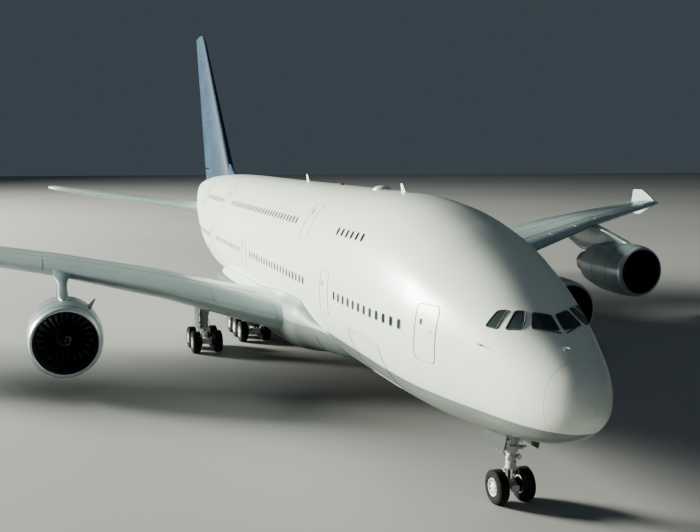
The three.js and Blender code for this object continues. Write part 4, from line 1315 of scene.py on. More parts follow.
for hand_name, hand in HANDS.items():
    slats, pods = Shape(), Shape()
    for first, last in zip(SLAT_ENDS, SLAT_ENDS[1:]):
        slats.join(slat(first + SLAT_JOINT, last - SLAT_JOINT))
    for pod in TRACK_PODS:
        pods.join(track_pod(*pod))
    piece(f"slats_{hand_name}", handed(slats, hand), [SLAT_METAL], "wing_paint")
    settle(wing_piece(f"flap_track_pods_{hand_name}", pods, hand), "wing_paint")

# %% [markdown]
# Panel lines are beads that lie almost in the skin: two along the spoilers with short ones
# across, and two more along the whole wing.

# %% Spoiler and panel lines
SPOILER_SHARES, PANEL_SHARES_ALONG = (0.62, 0.735), (0.16, 0.38)
SPOILER_START, SPOILER_END, SPOILER_PITCH, SPOILERS = 9.6, 26.4, 2.1, 8
WING_LINE_ENDS = (4.6, 39.0)
PANEL_BEAD = 0.011


def wing_lines(hand):
    lines = []
    for share in SPOILER_SHARES:
        lines.append([(u, share) for u in WING.stations(SPOILER_START, SPOILER_END, 1.2)])
    for k in range(SPOILERS + 1):
        u = SPOILER_START + SPOILER_PITCH * k
        lines.append([(u, share) for share in np.linspace(*SPOILER_SHARES, 5)])
    for share in PANEL_SHARES_ALONG:
        lines.append([(u, share) for u in WING.stations(*WING_LINE_ENDS, 1.5)])
    lines = [[WING.skin(u, share, 1, LINE_OUT) * (hand, 1, 1) for u, share in line] for line in lines]
    return [(line, False) for line in lines]


for hand_name, hand in HANDS.items():
    lines = beads(f"wing_lines_{hand_name}", wing_lines(hand), PANEL_BEAD, SEAL_GREY_AND_SWIRL_SHADE)
    settle(lines, "wing_paint")

# %% [markdown]
# ## Belly fairing
# A long smooth blister covers the place where the wings pass under the hull. Sculpting would
# suit it, but frames like the hull's are easy to change. Its seam with the hull is where both
# skins have the same half width.

# %% The fairing, its seam and its air inlets, with their painted shadow
# Columns: s, half width, bottom z, top z, z of the widest point
FAIRING = [
    [15.8, 2.0, 2.75, 3.6, 3.3], [16.8, 2.72, 2.62, 4.2, 3.75], [17.8, 3.12, 2.56, 4.5, 3.92],
    [18.8, 3.42, 2.5, 4.75, 3.97], [19.7, 3.7, 2.42, 5.3, 3.97], [20.6, 3.98, 2.26, 5.75, 3.95],
    [21.8, 4.05, 2.04, 5.75, 3.9], [25.5, 4.05, 1.75, 5.45, 3.8], [30, 4.05, 1.75, 4.85, 3.6],
    [39.5, 4.0, 1.75, 4.6, 3.5], [43, 3.6, 1.9, 4.4, 3.3], [46, 2.6, 2.2, 3.9, 3.1],
    [48, 1.4, 2.55, 3.5, 3.0],
]
FAIRING_POWERS = (2.6, 2.9)
FAIRING_RINGS, FAIRING_AROUND = 140, 96
SEAM_START, SEAM_END, FAIRING_BEAD = 18.5, 45, 0.022
INLET_LEVEL, INLET_HALF_HEIGHT, INLET_S = 3.32, 0.36, 18.62
fairing_frame = smooth_table(FAIRING)


def fairing_x(s, z):
    return skin_x(fairing_frame(s), z, FAIRING_POWERS)


def seam_level(s):
    """The level above the widest point where the fairing's skin dips into the hull's."""
    _, _, top, wide = fairing_frame(s)
    return halved(lambda z: fairing_x(s, z) > hull_x(s, z), wide, top, 30)


def air_inlet_and_shadow():
    """A dark crescent in the fairing's shoulder: partly the air system's inlet, partly a painted shadow of
    the wing.
    """
    rings = []
    for t in [k / 10 for k in range(11)]:
        z = INLET_LEVEL + INLET_HALF_HEIGHT * math.cos(math.pi * t)
        bulge = math.sin(math.pi * t)
        front = INLET_S - 0.3 * bulge - 0.25 * t ** 2
        back = front + 0.03 + 0.14 * bulge
        corners = ((front, 0.012), (back, 0.012), (back, -0.05), (front, -0.05))
        rings.append([(STARBOARD * (fairing_x(s, z) + out), s, z) for s, out in corners])
    return Shape().loft(rings)


places = np.linspace(FAIRING[0][0], FAIRING[-1][0], FAIRING_RINGS)
rings = [frame_ring(fairing_frame(s), s, FAIRING_POWERS, FAIRING_AROUND) for s in places]
piece("belly_fairing_skin", Shape().loft(rings), [FAIRING_PAINT_AND_SHADE], "grey_paint", "belly_fairing")
seam = [(s, seam_level(s)) for s in np.linspace(SEAM_START, SEAM_END, 90)]
seam = both_sides([(hull_x(s, z, PORT, 0.006), s, z) for s, z in seam])
settle(beads("fairing_seam", seam, FAIRING_BEAD, SEAL), "grey_paint")
# The inlets' black is partly a painted shadow of the wing.
inlets = air_inlet_and_shadow().join(air_inlet_and_shadow().mirrored())
piece("air_inlets", inlets, [SOOT_BLACK_AND_SHADE], "grey_paint")

# %% [markdown]
# ## Engines
# A nacelle is three thin rings turned about the shaft: a bright lip, the painted cowl and
# the duct inside it, near black with painted shade. Spinning an outline by hand gives the
# same, but a table can be read again for the lines on the cowl. It is read by a square root,
# because a lip is round too.

# %% Nacelles
# Columns: number, x, s of the intake lip, z of the shaft
ENGINES = [(1, 25.7, 32.0, 3.9), (2, 14.82, 24.4, 2.84), (3, -14.82, 24.4, 2.84), (4, -25.7, 32.0, 3.9)]
AFT = (0, 1, 0)
LIP_END, LIP_INSIDE, COWL_END = 0.42, 0.04, 5.6
COWL_WALL, DUCT_WALL, NACELLE_SIDES = 0.03, 0.02, 72
cowl_radius = smooth_table([[0, 1.68], [0.1, 1.78], [0.5, 1.88], [1.5, 1.96], [3.1, 1.93], [4.6, 1.76],
                            [5.6, 1.56]], np.sqrt)
duct_radius = smooth_table([[0, 1.68], [0.1, 1.6], [0.3, 1.54], [0.6, 1.5], [1.3, 1.51], [4.2, 1.53],
                            [5.6, 1.5]], np.sqrt)


def curve(read, first, last, count):
    roots = np.linspace(math.sqrt(first), math.sqrt(last), count + 1)
    return [(float(read(root ** 2)[0]), root ** 2) for root in roots]


def walled(profile, wall):
    """A profile and the other face of its wall, as one closed outline."""
    return profile + [(radius + wall, along) for radius, along in profile[::-1]]


def nacelle(place):
    lip = curve(cowl_radius, 0, LIP_END, 10)[::-1] + curve(duct_radius, 0, LIP_INSIDE, 8)[1:]
    cowl = walled(curve(cowl_radius, LIP_END + 0.008, COWL_END, 24), -COWL_WALL)
    duct = walled(curve(duct_radius, LIP_INSIDE, COWL_END, 24), DUCT_WALL)
    shape = Shape()
    for profile, ink in ((lip, 1), (cowl, 0), (duct, 2)):
        shape.turned(profile, place, AFT, NACELLE_SIDES, ink, True)
    return shape


print("an intake is", 2 * cowl_radius(0)[0], "m wide at its lip")

# %% [markdown]
# The cowl's joints run round it and along it, and a little fin, the strake, stands on its
# inboard shoulder. Both are placed by an angle from the top and a distance aft of the lip.

# %% Lines and strakes on the nacelles
COWL_JOINTS, COWL_SEAMS, COWL_BEAD = (LIP_END + 0.004, 1.75, 3.55), (-17, 17, 180), 0.01
STRAKE_ANGLE, STRAKE_THICKNESS = math.radians(42), 0.04
# Distance aft of the lip, rise off the cowl
STRAKE = [(1.15, -0.05), (1.8, 0.22), (2.5, 0.5), (2.85, 0.5), (3.02, -0.05)]


def cowl_point(place, angle, aft, out=0.004):
    radius = float(cowl_radius(aft)[0]) + out
    x, s, z = place
    return (x + radius * math.sin(angle), s + aft, z + radius * math.cos(angle))


def cowl_lines(place):
    turns, along = circle_turns(NACELLE_SIDES), np.linspace(COWL_JOINTS[1], COWL_END, 16)
    rings = [([cowl_point(place, a, aft) for a in turns], True) for aft in COWL_JOINTS]
    return rings + [([cowl_point(place, math.radians(a), aft) for aft in along], False) for a in COWL_SEAMS]


def strake(place, inboard):
    angle = inboard * STRAKE_ANGLE
    outline = [cowl_point(place, angle, aft, rise) for aft, rise in STRAKE]
    thick = np.array((math.cos(angle), 0, -math.sin(angle))) * STRAKE_THICKNESS
    return Shape().slab(np.array(outline) - thick / 2, thick)


for number, x, lip, z in ENGINES:
    place = (x, lip, z)
    piece(f"nacelle_skin_{number}", nacelle(place), [COWL_PAINT, LIP_METAL, DUCT_LINER_SHADE],
          "nacelle_paint", f"nacelle_{number}")
    lines = beads(f"cowl_lines_{number}", cowl_lines(place), COWL_BEAD, SEAL)
    settle(lines, "nacelle_paint")
    piece(f"strake_{number}", strake(place, -math.copysign(1, x)), [COWL_PAINT], "nacelle_paint")

# %% [markdown]
# ## Fans
# One blade is drawn: thin, twisted more towards the tip, and bowed. A node tree then
# sets copies of it round the shaft. The guide vanes behind the fan use the same tree.

# %% Blades set round a shaft
FAN_BLADES, GUIDE_VANES, BLADE_AROUND, BLADE_BOW = 24, 44, 16, 0.06
# Columns: radius, chord, angle off the shaft in degrees, distance aft of the lip
FAN_BLADE = [(0.44, 0.36, 14, 1.7), (0.7, 0.42, 30, 1.7), (0.95, 0.46, 43, 1.72),
             (1.2, 0.47, 54, 1.7), (1.38, 0.44, 61, 1.66), (1.465, 0.36, 64, 1.64)]
GUIDE_VANE = [(0.72, 0.6, -24, 2.9), (1.54, 0.6, -24, 3.0)]


def blade_ring_tree():
    inputs = {"Blade": "Object", "Count": "Int", "Centre": "Vector", "Finish": "Material"}
    grower = Grower("blade_ring", inputs)
    count = grower.input("Count")
    values = {"Count": count, "Start Location": grower.input("Centre"), "Offset": (0, 0, 0)}
    spots = grower.node("GeometryNodeMeshLine", {}, values)
    index = grower.node("GeometryNodeInputIndex", {}, {})
    step = grower.node("ShaderNodeMath", {"operation": "DIVIDE"}, {0: 2 * math.pi, 1: count})
    turn = grower.node("ShaderNodeMath", {"operation": "MULTIPLY"}, {0: index, 1: step})
    facing = grower.node("ShaderNodeCombineXYZ", {}, {"Y": turn})
    placed = {"Points": spots, "Instance": grower.object("Blade"), "Rotation": facing}
    return grower.end(grower.node("GeometryNodeInstanceOnPoints", {}, placed))


def blade_stencil(name, stations, thick):
    rings = []
    for radius, chord, angle, aft in stations:
        turn = math.radians(angle)
        ring = []
        for a in circle_turns(BLADE_AROUND):
            along, off = math.cos(a) * chord / 2, math.sin(a) * thick * chord / 2
            off += (1 - (2 * along / chord) ** 2) * chord * BLADE_BOW
            s = LENGTH / 2 + aft + along * math.cos(turn) - off * math.sin(turn)
            ring.append((along * math.sin(turn) + off * math.cos(turn), s, radius))
        rings.append(ring)
    return build(name, Shape().loft(rings), [BLADE_SHADE_AND_BRAKE_METAL])


BLADE_RING = blade_ring_tree()
# Blades and vanes take the near-black metal, which is painted shade inside the intake.
fan_blade = blade_stencil("fan_blade", FAN_BLADE, 0.09)
guide_vane = blade_stencil("guide_vane", GUIDE_VANE, 0.1)
print("a fan blade has", len(fan_blade.data.polygons), "faces")

# %% [markdown]
# The spinner in the middle is a turned cone. A comma winds once round it, so that a turning
# fan shows. It is a thin shape and not an image. Its grey is painted shade, since the real
# comma is white.

# %% Spinners with their commas, fans and guide vanes
SPINNER_TIP, SPINNER_DEPTH = 0.7, 1.18
SWIRL_START, SWIRL_DEPTH, SWIRL_TURN = 0.86, 0.62, 2 * math.pi * 0.95
spinner_radius = smooth_table([[0.7, 0], [0.74, 0.07], [0.85, 0.15], [1.02, 0.25], [1.3, 0.39],
                               [1.55, 0.475], [1.9, 0.48]])


def spinner(place):
    alongs = [SPINNER_TIP + SPINNER_DEPTH * (k / 24) ** 1.4 for k in range(25)]
    profile = [(max(float(spinner_radius(a)[0]), 0.002), a) for a in alongs]
    return Shape().turned(profile, place, AFT, 40)


def swirl(place):
    x, s, z = place
    rings = []
    for t in [k / 48 for k in range(49)]:
        aft, angle = SWIRL_START + SWIRL_DEPTH * t, SWIRL_TURN * t
        wide = 0.012 + 0.05 * math.sin(math.pi * min(1, t * 1.15) ** 1.3)
        ring = []
        for along, out in ((-wide, 0.006), (wide, 0.006), (wide, -0.01), (-wide, -0.01)):
            radius = float(spinner_radius(aft + along)[0]) + out
            ring.append((x + radius * math.sin(angle), s + aft + along, z + radius * math.cos(angle)))
        rings.append(ring)
    return Shape().loft(rings)


def blades_round(name, blade, count, place):
    centre = tuple(to_frame([place])[0])
    return grow(name, BLADE_RING, BLADE_SHADE_AND_BRAKE_METAL, Blade=blade, Count=count, Centre=centre)


for number, *place in ENGINES:
    fan = f"fan_{number}"
    settle(blades_round(f"fan_blades_{number}", fan_blade, FAN_BLADES, place), "engine_metal", fan,
           body=fan)
    piece(f"spinner_{number}", spinner(place), [SPINNER_PAINT], "engine_metal", body=fan)
    piece(f"spinner_swirl_{number}", swirl(place), [SEAL_GREY_AND_SWIRL_SHADE], "engine_metal", body=fan)
    vanes = blades_round(f"guide_vanes_{number}", guide_vane, GUIDE_VANES, place)
    settle(vanes, "engine_metal")
for helper in (fan_blade, guide_vane):
    bpy.data.objects.remove(helper)

# %% [markdown]
# ## Cores and pylons
# Behind the fan comes the core: a painted cowl, a heat-tinted nozzle and a pointed plug. The
# pylon grows out of the nacelle's top and widens again where it meets the wing. Its rings
# are boxes with very round sides.

# %% Cores and pylons
CORE_START, NOZZLE_START, NOZZLE_END, PLUG_START, PLUG_END = 1.95, 6.3, 7.3, 6.9, 8.5
core_radius = smooth_table([[1.95, 0.55], [3, 0.9], [4.9, 1.1], [6.3, 0.98], [7.3, 0.8]])
plug_radius = smooth_table([[6.9, 0.5], [7.4, 0.5], [8.1, 0.29], [8.42, 0.08], [8.5, 0]])
# Columns: distance aft of the lip, bottom and top above the shaft, half width, flare at the top
INNER_PYLON = [[1.55, 1.7, 1.97, 0.10, 0], [1.7, 1.7, 2.02, 0.21, 0], [2.6, 1.68, 2.26, 0.26, 0],
               [4.0, 1.5, 2.55, 0.25, 0], [4.7, 1.3, 2.72, 0.25, 0.8], [5.6, 1.02, 2.88, 0.25, 1.8],
               [7.2, 0.85, 3.2, 0.26, 1.8], [9.6, 1.3, 2.95, 0.23, 0.6],
               [12.2, 1.98, 2.6, 0.13, 0], [13.3, 2.25, 2.5, 0.03, 0]]
OUTER_PYLON = [[1.55, 1.7, 1.97, 0.10, 0], [1.7, 1.7, 2.02, 0.21, 0], [2.6, 1.68, 2.26, 0.25, 0],
               [4.0, 1.5, 2.6, 0.24, 0], [4.7, 1.3, 2.75, 0.24, 0.8], [5.6, 1.02, 2.9, 0.24, 1.8],
               [7.2, 0.95, 3.2, 0.25, 1.8], [9.3, 1.6, 3.1, 0.21, 0.6],
               [11.0, 2.33, 2.95, 0.12, 0], [11.9, 2.6, 2.85, 0.03, 0]]
PYLONS = {1: OUTER_PYLON, 2: INNER_PYLON, 3: INNER_PYLON, 4: OUTER_PYLON}
PYLON_RINGS, PYLON_AROUND, PYLON_FOOT_FLARE = 32, 28, 0.9
PYLON_HEIGHT_POWER, PYLON_WIDTH_POWER = 0.55, 0.4


def profile_of(read, first, last, count):
    return [(max(float(read(a)[0]), 0.003), a) for a in np.linspace(first, last, count)]


def core(place):
    cowl = [*profile_of(core_radius, CORE_START, NOZZLE_START, 24), (0.6, NOZZLE_START)]
    nozzle = profile_of(core_radius, NOZZLE_START + 0.01, NOZZLE_END, 8)
    nozzle += [(0.75, NOZZLE_END - 0.01), (0.78, 6.5), (0.6, 6.4)]
    plug = [(0.5, NOZZLE_START), *profile_of(plug_radius, PLUG_START, PLUG_END, 20)]
    shape = Shape().turned(cowl, place, AFT, 56).turned(nozzle, place, AFT, 56, 1)
    return shape.turned(plug, place, AFT, 40, 1)


def pylon(place, table):
    read = smooth_table(table)
    x, lip, shaft = place
    rings = []
    for aft in np.linspace(table[0][0], table[-1][0], PYLON_RINGS + 1):
        bottom, top, half, top_flare = read(aft)
        ring = []
        for turn in circle_turns(PYLON_AROUND):
            across, up = math.sin(turn), math.cos(turn)
            height = math.copysign(abs(up) ** PYLON_HEIGHT_POWER, up)
            flare = 1 + top_flare * max(0, height) ** 3 + PYLON_FOOT_FLARE * max(0, -height) ** 3
            out = math.copysign(abs(across) ** PYLON_WIDTH_POWER, across) * half * flare
            ring.append((x + out, lip + aft, shaft + (bottom + top) / 2 + height * (top - bottom) / 2))
        rings.append(ring)
    return Shape().loft(rings)


for number, *place in ENGINES:
    piece(f"core_skin_{number}", core(place), [COWL_PAINT, HOT_METAL], "engine_metal",
          f"engine_core_{number}")
    piece(f"pylon_skin_{number}", pylon(place, PYLONS[number]), [COWL_PAINT], "nacelle_paint",
          f"pylon_{number}")

# %% [markdown]
# ## Wheels
# A tyre is a profile turned about its axle: a grooved tread, round shoulders and deep walls,
# around a dished wheel with vent holes. A torus would be quicker, but a tyre's section isn't
# round. Its radius is the height of its axle, so it stands on the ground.

# %% Tyres and wheels
TYRE_SIDES, DISH_SIDES, BRAKE_SIDES = 56, 40, 32
MAIN_WHEEL = {"radius": 0.6825, "width": 0.53, "rim": 0.34, "axle": 0.095}
NOSE_WHEEL = {"radius": 0.619, "width": 0.455, "rim": 0.33, "axle": 0.075}
TREAD_SHARE, GROOVE_DEPTH = 0.36, 0.014
GROOVES = (0.62, 0.22, -0.22, -0.62)  # as shares of the tread
VENT_HOLES, VENT_HOLE_SHARE, VENT_RING_SHARE = 9, 0.12, 0.7


def tyre_profile(radius, width, rim):
    """Half the tread, shoulder and sidewall, then its mirror image: (radius, along)."""
    half, tread = width / 2, width * TREAD_SHARE
    wall = [(rim - 0.01, half * 0.72), (rim + 0.02, half * 0.86), (rim + 0.06, half * 0.96),
            (rim + 0.14, half), (radius - 0.12, half * 0.985), (radius - 0.06, half * 0.9),
            (radius - 0.02, half * 0.8)]
    face = [(radius, tread)]
    for middle in [groove * tread for groove in GROOVES]:
        for depth, off in ((0, 0.012), (GROOVE_DEPTH, 0.008), (GROOVE_DEPTH, -0.008), (0, -0.012)):
            face.append((radius - depth, middle + off))
    return [*wall, *face, (radius, -tread), *[(r, -a) for r, a in wall[::-1]]]


def wheel(shape, centre, out, radius, width, rim, axle):
    """One wheel; `out` is the way its dished face looks along x."""
    shape.turned(tyre_profile(radius, width, rim), centre, (1, 0, 0), TYRE_SIDES, 0, True)
    half = width / 2
    dish = [(rim, -half * 0.74), (rim, half * 0.84), (rim - 0.012, half * 0.93),
            (rim - 0.03, half * 0.9), (rim - 0.045, half * 0.74), (rim * 0.55, half * 0.66),
            (rim * 0.46, half * 0.82), (rim * 0.38, half * 0.9), (0.02, half * 0.92),
            (0.02, -half * 0.74)]
    shape.turned(dish, centre, (out, 0, 0), DISH_SIDES, 1, True)
    brake = [(axle, -half * 0.7), (rim * 0.86, -half * 0.7), (rim * 0.86, -half - 0.1),
             (rim * 0.7, -half - 0.12), (axle, -half - 0.12)]
    shape.turned(brake, centre, (out, 0, 0), BRAKE_SIDES, 2, True)
    ring = rim * VENT_RING_SHARE
    for turn in circle_turns(VENT_HOLES):
        spot = np.array(centre) + (out * half * 0.67, ring * math.sin(turn), ring * math.cos(turn))
        shape.rod(spot, spot + (out * 0.022, 0, 0), rim * VENT_HOLE_SHARE, 10, ink=2)


def wheel_pair(place, track, size):
    shape = Shape()
    x, s, z = place
    for out in (1, -1):
        wheel(shape, (x + out * track / 2, s, z), out, **size)
    reach = track / 2 + size["width"] * 0.3
    return shape.rod((x - reach, s, z), (x + reach, s, z), size["axle"], 20, ink=3)


print("a tyre's profile has", len(tyre_profile(0.6825, 0.53, 0.34)), "points")

# %% [markdown]
# Every pair turns on its own axle, so each is one piece on its own body. The names come
# from the gear, the side and the number of the axle, counted from the front.

# %% Wheel pairs on their axles
WHEEL_FINISHES = [TYRE_RUBBER, WHEEL_WHITE, BLADE_SHADE_AND_BRAKE_METAL, ENAMEL]
NOSE_LEG_S, NOSE_TRACK = 5.1, 1.05
WING_GEAR = {"x": 6.23, "s": 33.6, "track": 1.35, "axles": 2, "top": 4.2}
BODY_GEAR = {"x": 2.63, "s": 36.9, "track": 1.53, "axles": 3, "top": 2.4}
AXLE_PITCH = 1.7
MAIN_Z, NOSE_Z = MAIN_WHEEL["radius"], NOSE_WHEEL["radius"]


def axle_offsets(gear):
    return [(k - (gear["axles"] - 1) / 2) * AXLE_PITCH for k in range(gear["axles"])]


def settle_pair(node, object_name, place, track, size):
    piece(object_name, wheel_pair(place, track, size), WHEEL_FINISHES, "tyre_and_wheel", node, body=node)


settle_pair("nose_wheels", "nose_wheel_pair", (0, NOSE_LEG_S, NOSE_Z), NOSE_TRACK, NOSE_WHEEL)
for gear_name, gear in (("wing_gear", WING_GEAR), ("body_gear", BODY_GEAR)):
    for number, aft in enumerate(axle_offsets(gear), 1):
        for hand_name, hand in HANDS.items():
            node = f"{gear_name}_wheels_{hand_name}_{number}"
            place = (hand * gear["x"], gear["s"] + aft, MAIN_Z)
            settle_pair(node, node + "_pair", place, gear["track"], MAIN_WHEEL)

# %% [markdown]
# ## Landing gear
# Each leg is a painted cylinder with a chrome piston below it, among links, braces, brake
# rods and hoses. Nearly all of it is rods, so a leg is a table with one row for each rod, and
# one helper sets them. Rows that come in pairs are written once.

# %% Rods and hoses from tables
def sided(rows, side):
    """Rows with every point's x turned to one side."""
    return [[(side * v[0], *v[1:]) if isinstance(v, tuple) else v for v in row] for row in rows]


def paired(rows):
    return sided(rows, -1) + sided(rows, 1)


def add_rods(shape, x, s, rows):
    """Rows of start, end, radius, sides, ink and end radius; x and s count from the leg."""
    for start, end, *sizes in rows:
        shape.rod(*[(x + p[0], s + p[1], p[2]) for p in (start, end)], *sizes)
    return shape


def hose_lines(x, s, rows, count=14):
    lines = []
    for start, end, bow in rows:
        start, end = [np.array(p, float) + (x, s, 0) for p in (start, end)]
        shares = [k / count for k in range(count + 1)]
        line = [start + (end - start) * t + np.array(bow) * math.sin(math.pi * t) for t in shares]
        lines.append((line, False))
    return lines


print("two rows in a pair make", len(paired([((1, 0, 0), 1), ((2, 0, 0), 1)])), "rows")

# %% [markdown]
# The wing legs carry two axles and the body legs three, on a beam that is deeper in its
# middle. One function makes both, since only their axles and their height differ.

# %% Main legs
BEAM_HALF, BEAM_DEPTH, BEAM_OVERHANG = 0.15, 0.19, 0.3
HOSE_RADIUS = 0.02


def beam(x, front, back):
    rings = []
    for t in [k / 16 for k in range(17)]:
        swell = (1 - 0.35 * abs(2 * t - 1) ** 3) * (0.5 if t in (0, 1) else 1)
        high = BEAM_DEPTH * swell
        outline = rounded_outline((-BEAM_HALF, -high), (BEAM_HALF, high), 0.09 * swell, 4)
        rings.append([(x + a, front + (back - front) * t, MAIN_Z + b) for a, b in outline])
    return Shape().loft(rings)


def main_leg(gear):
    z, top, half = MAIN_Z, gear["top"], axle_offsets(gear)[-1]
    knee, jack_end = (0.04, -0.62, 1.28), (0, 0.18, 1.75)
    rows = [
        ((-0.24, 0, z), (0.24, 0, z), 0.2, 24),  # the beam's pivot
        ((0, 0, z), (0, 0, 1.5), 0.15, 24, 1),  # piston
        ((0, 0, 1.38), (0, 0, top), 0.25, 28, 0, 0.3),  # cylinder
        ((0, 0, 1.36), (0, 0, 1.52), 0.3, 28),  # its foot
        ((0, 0, 2.2), (0, 0, 2.34), 0.31, 28),  # its collar
        *paired([((0.13, -0.2, 1.52), knee, 0.05, 10), ((0.13, -0.16, 0.86), knee, 0.05, 10)]),
        ((-0.16, -0.22, 1.5), (0.16, -0.22, 1.5), 0.05, 10),  # pins of the links
        ((-0.09, -0.62, 1.28), (0.09, -0.62, 1.28), 0.055, 10, 1),
        ((0, half * 0.85, z + 0.14), jack_end, 0.055, 12, 1),  # trim jack's piston
        ((0, half * 0.5, z + 0.5), jack_end, 0.085, 12),  # trim jack
    ]
    for aft in axle_offsets(gear):
        rows.append(((-0.3, aft, z), (0.3, aft, z), 0.15, 20))  # axle barrel
        if aft:
            rows += paired([((0.26, aft, z - 0.2), (0.22, 0, z - 0.22), 0.022, 8, 1)])  # brake rods
    x, s = gear["x"], gear["s"]
    return add_rods(beam(x, s - half - BEAM_OVERHANG, s + half + BEAM_OVERHANG), x, s, rows)


def main_hoses(gear):
    half = axle_offsets(gear)[-1]
    long_ones = [((0.22, -0.1, 2.1), (0.17, -half * 0.4, 0.9), (0.1, -0.28, 0)),
                 ((0.2, 0.12, 1.9), (0.17, half * 0.5, 0.9), (0.08, 0.2, 0))]
    short_ones = [((0.17, -half, 0.88), (0.34, -half - 0.1, 0.8), (0, -0.08, 0.06)),
                  ((0.17, half, 0.88), (0.34, half + 0.1, 0.8), (0, 0.08, 0.06))]
    place = (gear["x"], gear["s"])
    return hose_lines(*place, paired(long_ones)) + hose_lines(*place, paired(short_ones), 8)


print("the body leg's beam is", 2 * (axle_offsets(BODY_GEAR)[-1] + BEAM_OVERHANG), "m long")

# %% [markdown]
# Only the wing legs have a brace to the hull, a hinge that shows, and a door. Then both
# kinds are built for each hand.

# %% The wing legs' own rods and doors, and all four legs
WING_LEG_ROWS = [
    ((-0.15, 0.05, 2.25), (-1.25, 0.25, 3.75), 0.1),  # brace towards the hull
    ((-0.1, -0.15, 2.9), (-0.2, -1.5, 3.9), 0.085),  # drag brace
    ((0, -0.55, 3.3), (0, 0.55, 3.3), 0.17, 18),  # hinge at the top
    ((0, 0, 1.75), (0.45, 0.02, 1.75), 0.045, 10),  # links of the door
    ((0, 0, 2.7), (0.45, 0.02, 2.7), 0.045, 10),
]
LEG_DOOR = rounded_outline((-0.72, 1.32), (0.9, 3.75), 0.22)
LEG_DOOR_MIDDLE = np.array((0.09, 2.5))
LEG_DOOR_LAYERS = [(0.42, 0.97), (0.425, 1), (0.455, 1), (0.46, 0.97)]


def leg_door(x, s):
    rings = []
    for depth, share in LEG_DOOR_LAYERS:
        ring = LEG_DOOR_MIDDLE + (np.array(LEG_DOOR) - LEG_DOOR_MIDDLE) * share
        rings.append([(x + depth + 0.03 * (1 - ((b - 2.5) / 1.2) ** 2), s + a, b) for a, b in ring])
    return Shape().loft(rings, True, 2)


wing_leg = add_rods(main_leg(WING_GEAR), WING_GEAR["x"], WING_GEAR["s"], WING_LEG_ROWS)
wing_leg.join(leg_door(WING_GEAR["x"], WING_GEAR["s"]))
for hand_name, hand in HANDS.items():
    for gear_name, leg in (("wing_gear", wing_leg), ("body_gear", main_leg(BODY_GEAR))):
        piece(f"{gear_name}_{hand_name}", handed(leg, hand), [ENAMEL, CHROME, FAIRING_PAINT_AND_SHADE],
              "gear_steel", f"{gear_name}_leg_{hand_name}")
    lines = main_hoses(WING_GEAR) + main_hoses(BODY_GEAR)
    lines = [([p * (hand, 1, 1) for p in line], closes) for line, closes in lines]
    hoses = beads(f"main_gear_hoses_{hand_name}", lines, HOSE_RADIUS, HOSE)
    settle(hoses, "tyre_and_wheel")

# %% [markdown]
# ## Nose gear
# The upper leg stays with the hull. Everything from the chrome piston down turns with the
# steering, so they are two pieces. The lamps face forward on the upper leg.

# %% Nose leg, steered leg and lamps
NOSE_LEG_ROWS = [
    ((0, 0, 1.43), (0, 0, 3.88), 0.17, 28),  # cylinder
    ((0, 0, 1.43), (0, 0, 1.53), 0.2, 28),  # its foot
    ((0, 0, 1.86), (0, 0, 2.16), 0.235, 28),  # steering collar
    ((0, 0, 2.6), (0, 0, 2.7), 0.2, 28),  # upper collar
    ((-0.7, 0, 3.1), (0.7, 0, 3.1), 0.09, 18),  # trunnion
    ((-0.3, -0.42, 3.0), (0.3, -0.42, 3.0), 0.04, 12),  # pin of the drag braces
    ((-0.68, 0.1, 2.35), (0.68, 0.1, 2.35), 0.03, 10),  # rod of the side doors
    *paired([
        ((0.16, -0.02, 2.01), (0.46, -0.02, 2.01), 0.085, 18),  # steering jack
        ((0.46, -0.02, 2.01), (0.6, -0.02, 2.01), 0.05, 14, 1),
        ((0.16, -0.1, 2.12), (0.34, -0.62, 3.6), 0.06, 14),  # drag brace
        ((0.2, -0.3, 2.75), (0.2, 0.4, 3.3), 0.035, 10, 1),  # lock link
        ((0.2, -0.12, 1.72), (0.2, -0.26, 1.72), 0.105, 22),  # lamp housings
        ((0.24, -0.14, 2.36), (0.24, -0.28, 2.36), 0.085, 22),
        ((0.12, 0, 1.72), (0.2, -0.14, 1.72), 0.03, 8),  # and their arms
        ((0.12, 0, 2.36), (0.24, -0.16, 2.36), 0.03, 8),
    ]),
]
NOSE_LAMP_ROWS = paired([((0.2, -0.255, 1.72), (0.2, -0.275, 1.72), 0.088, 22),
                         ((0.24, -0.275, 2.36), (0.24, -0.295, 2.36), 0.07, 22)])
SIDE_DOOR = [(-0.9, 2.76), (-0.68, 2.12), (0.85, 2.12), (0.85, 2.62)]  # (s, z) from the leg
SIDE_DOOR_X, SIDE_DOOR_THICKNESS = 0.675, 0.028
LINK_KNEE = (0.03, 0.42, 1.05)
STEERED_ROWS = [
    ((0, 0, NOSE_Z), (0, 0, 1.42), 0.12, 28, 1),  # piston
    ((0, 0, 1.26), (0, 0, 1.42), 0.19, 28),  # steering barrel
    ((-0.25, 0, NOSE_Z), (0.25, 0, NOSE_Z), 0.155, 28),  # axle barrel
    ((0, 0, NOSE_Z - 0.02), (0, 0, NOSE_Z + 0.3), 0.16, 28, 0, 0.13),  # foot of the piston
    *paired([((0.1, 0.14, 1.33), LINK_KNEE, 0.035, 12),
             ((0.1, 0.14, NOSE_Z + 0.16), LINK_KNEE, 0.035, 12)]),
    ((-0.13, 0.13, 1.33), (0.13, 0.13, 1.33), 0.04, 12),  # pins of the links
    ((-0.07, 0.42, 1.05), (0.07, 0.42, 1.05), 0.045, 12, 1),
    ((-0.13, 0.13, NOSE_Z + 0.16), (0.13, 0.13, NOSE_Z + 0.16), 0.04, 12),
]
TOW_LUG, TOW_PLATE = (0.07, -0.34, -0.1, 0.07), (0.15, -0.395, -0.33, 0.11)
NOSE_HOSES = paired([((0.12, 0.12, 2.5), (0.13, 0.14, 1.55), (0.04, 0.1, 0)),
                     ((0.2, 0, 2.1), (0.23, -0.1, 2.4), (0.1, 0, 0))])
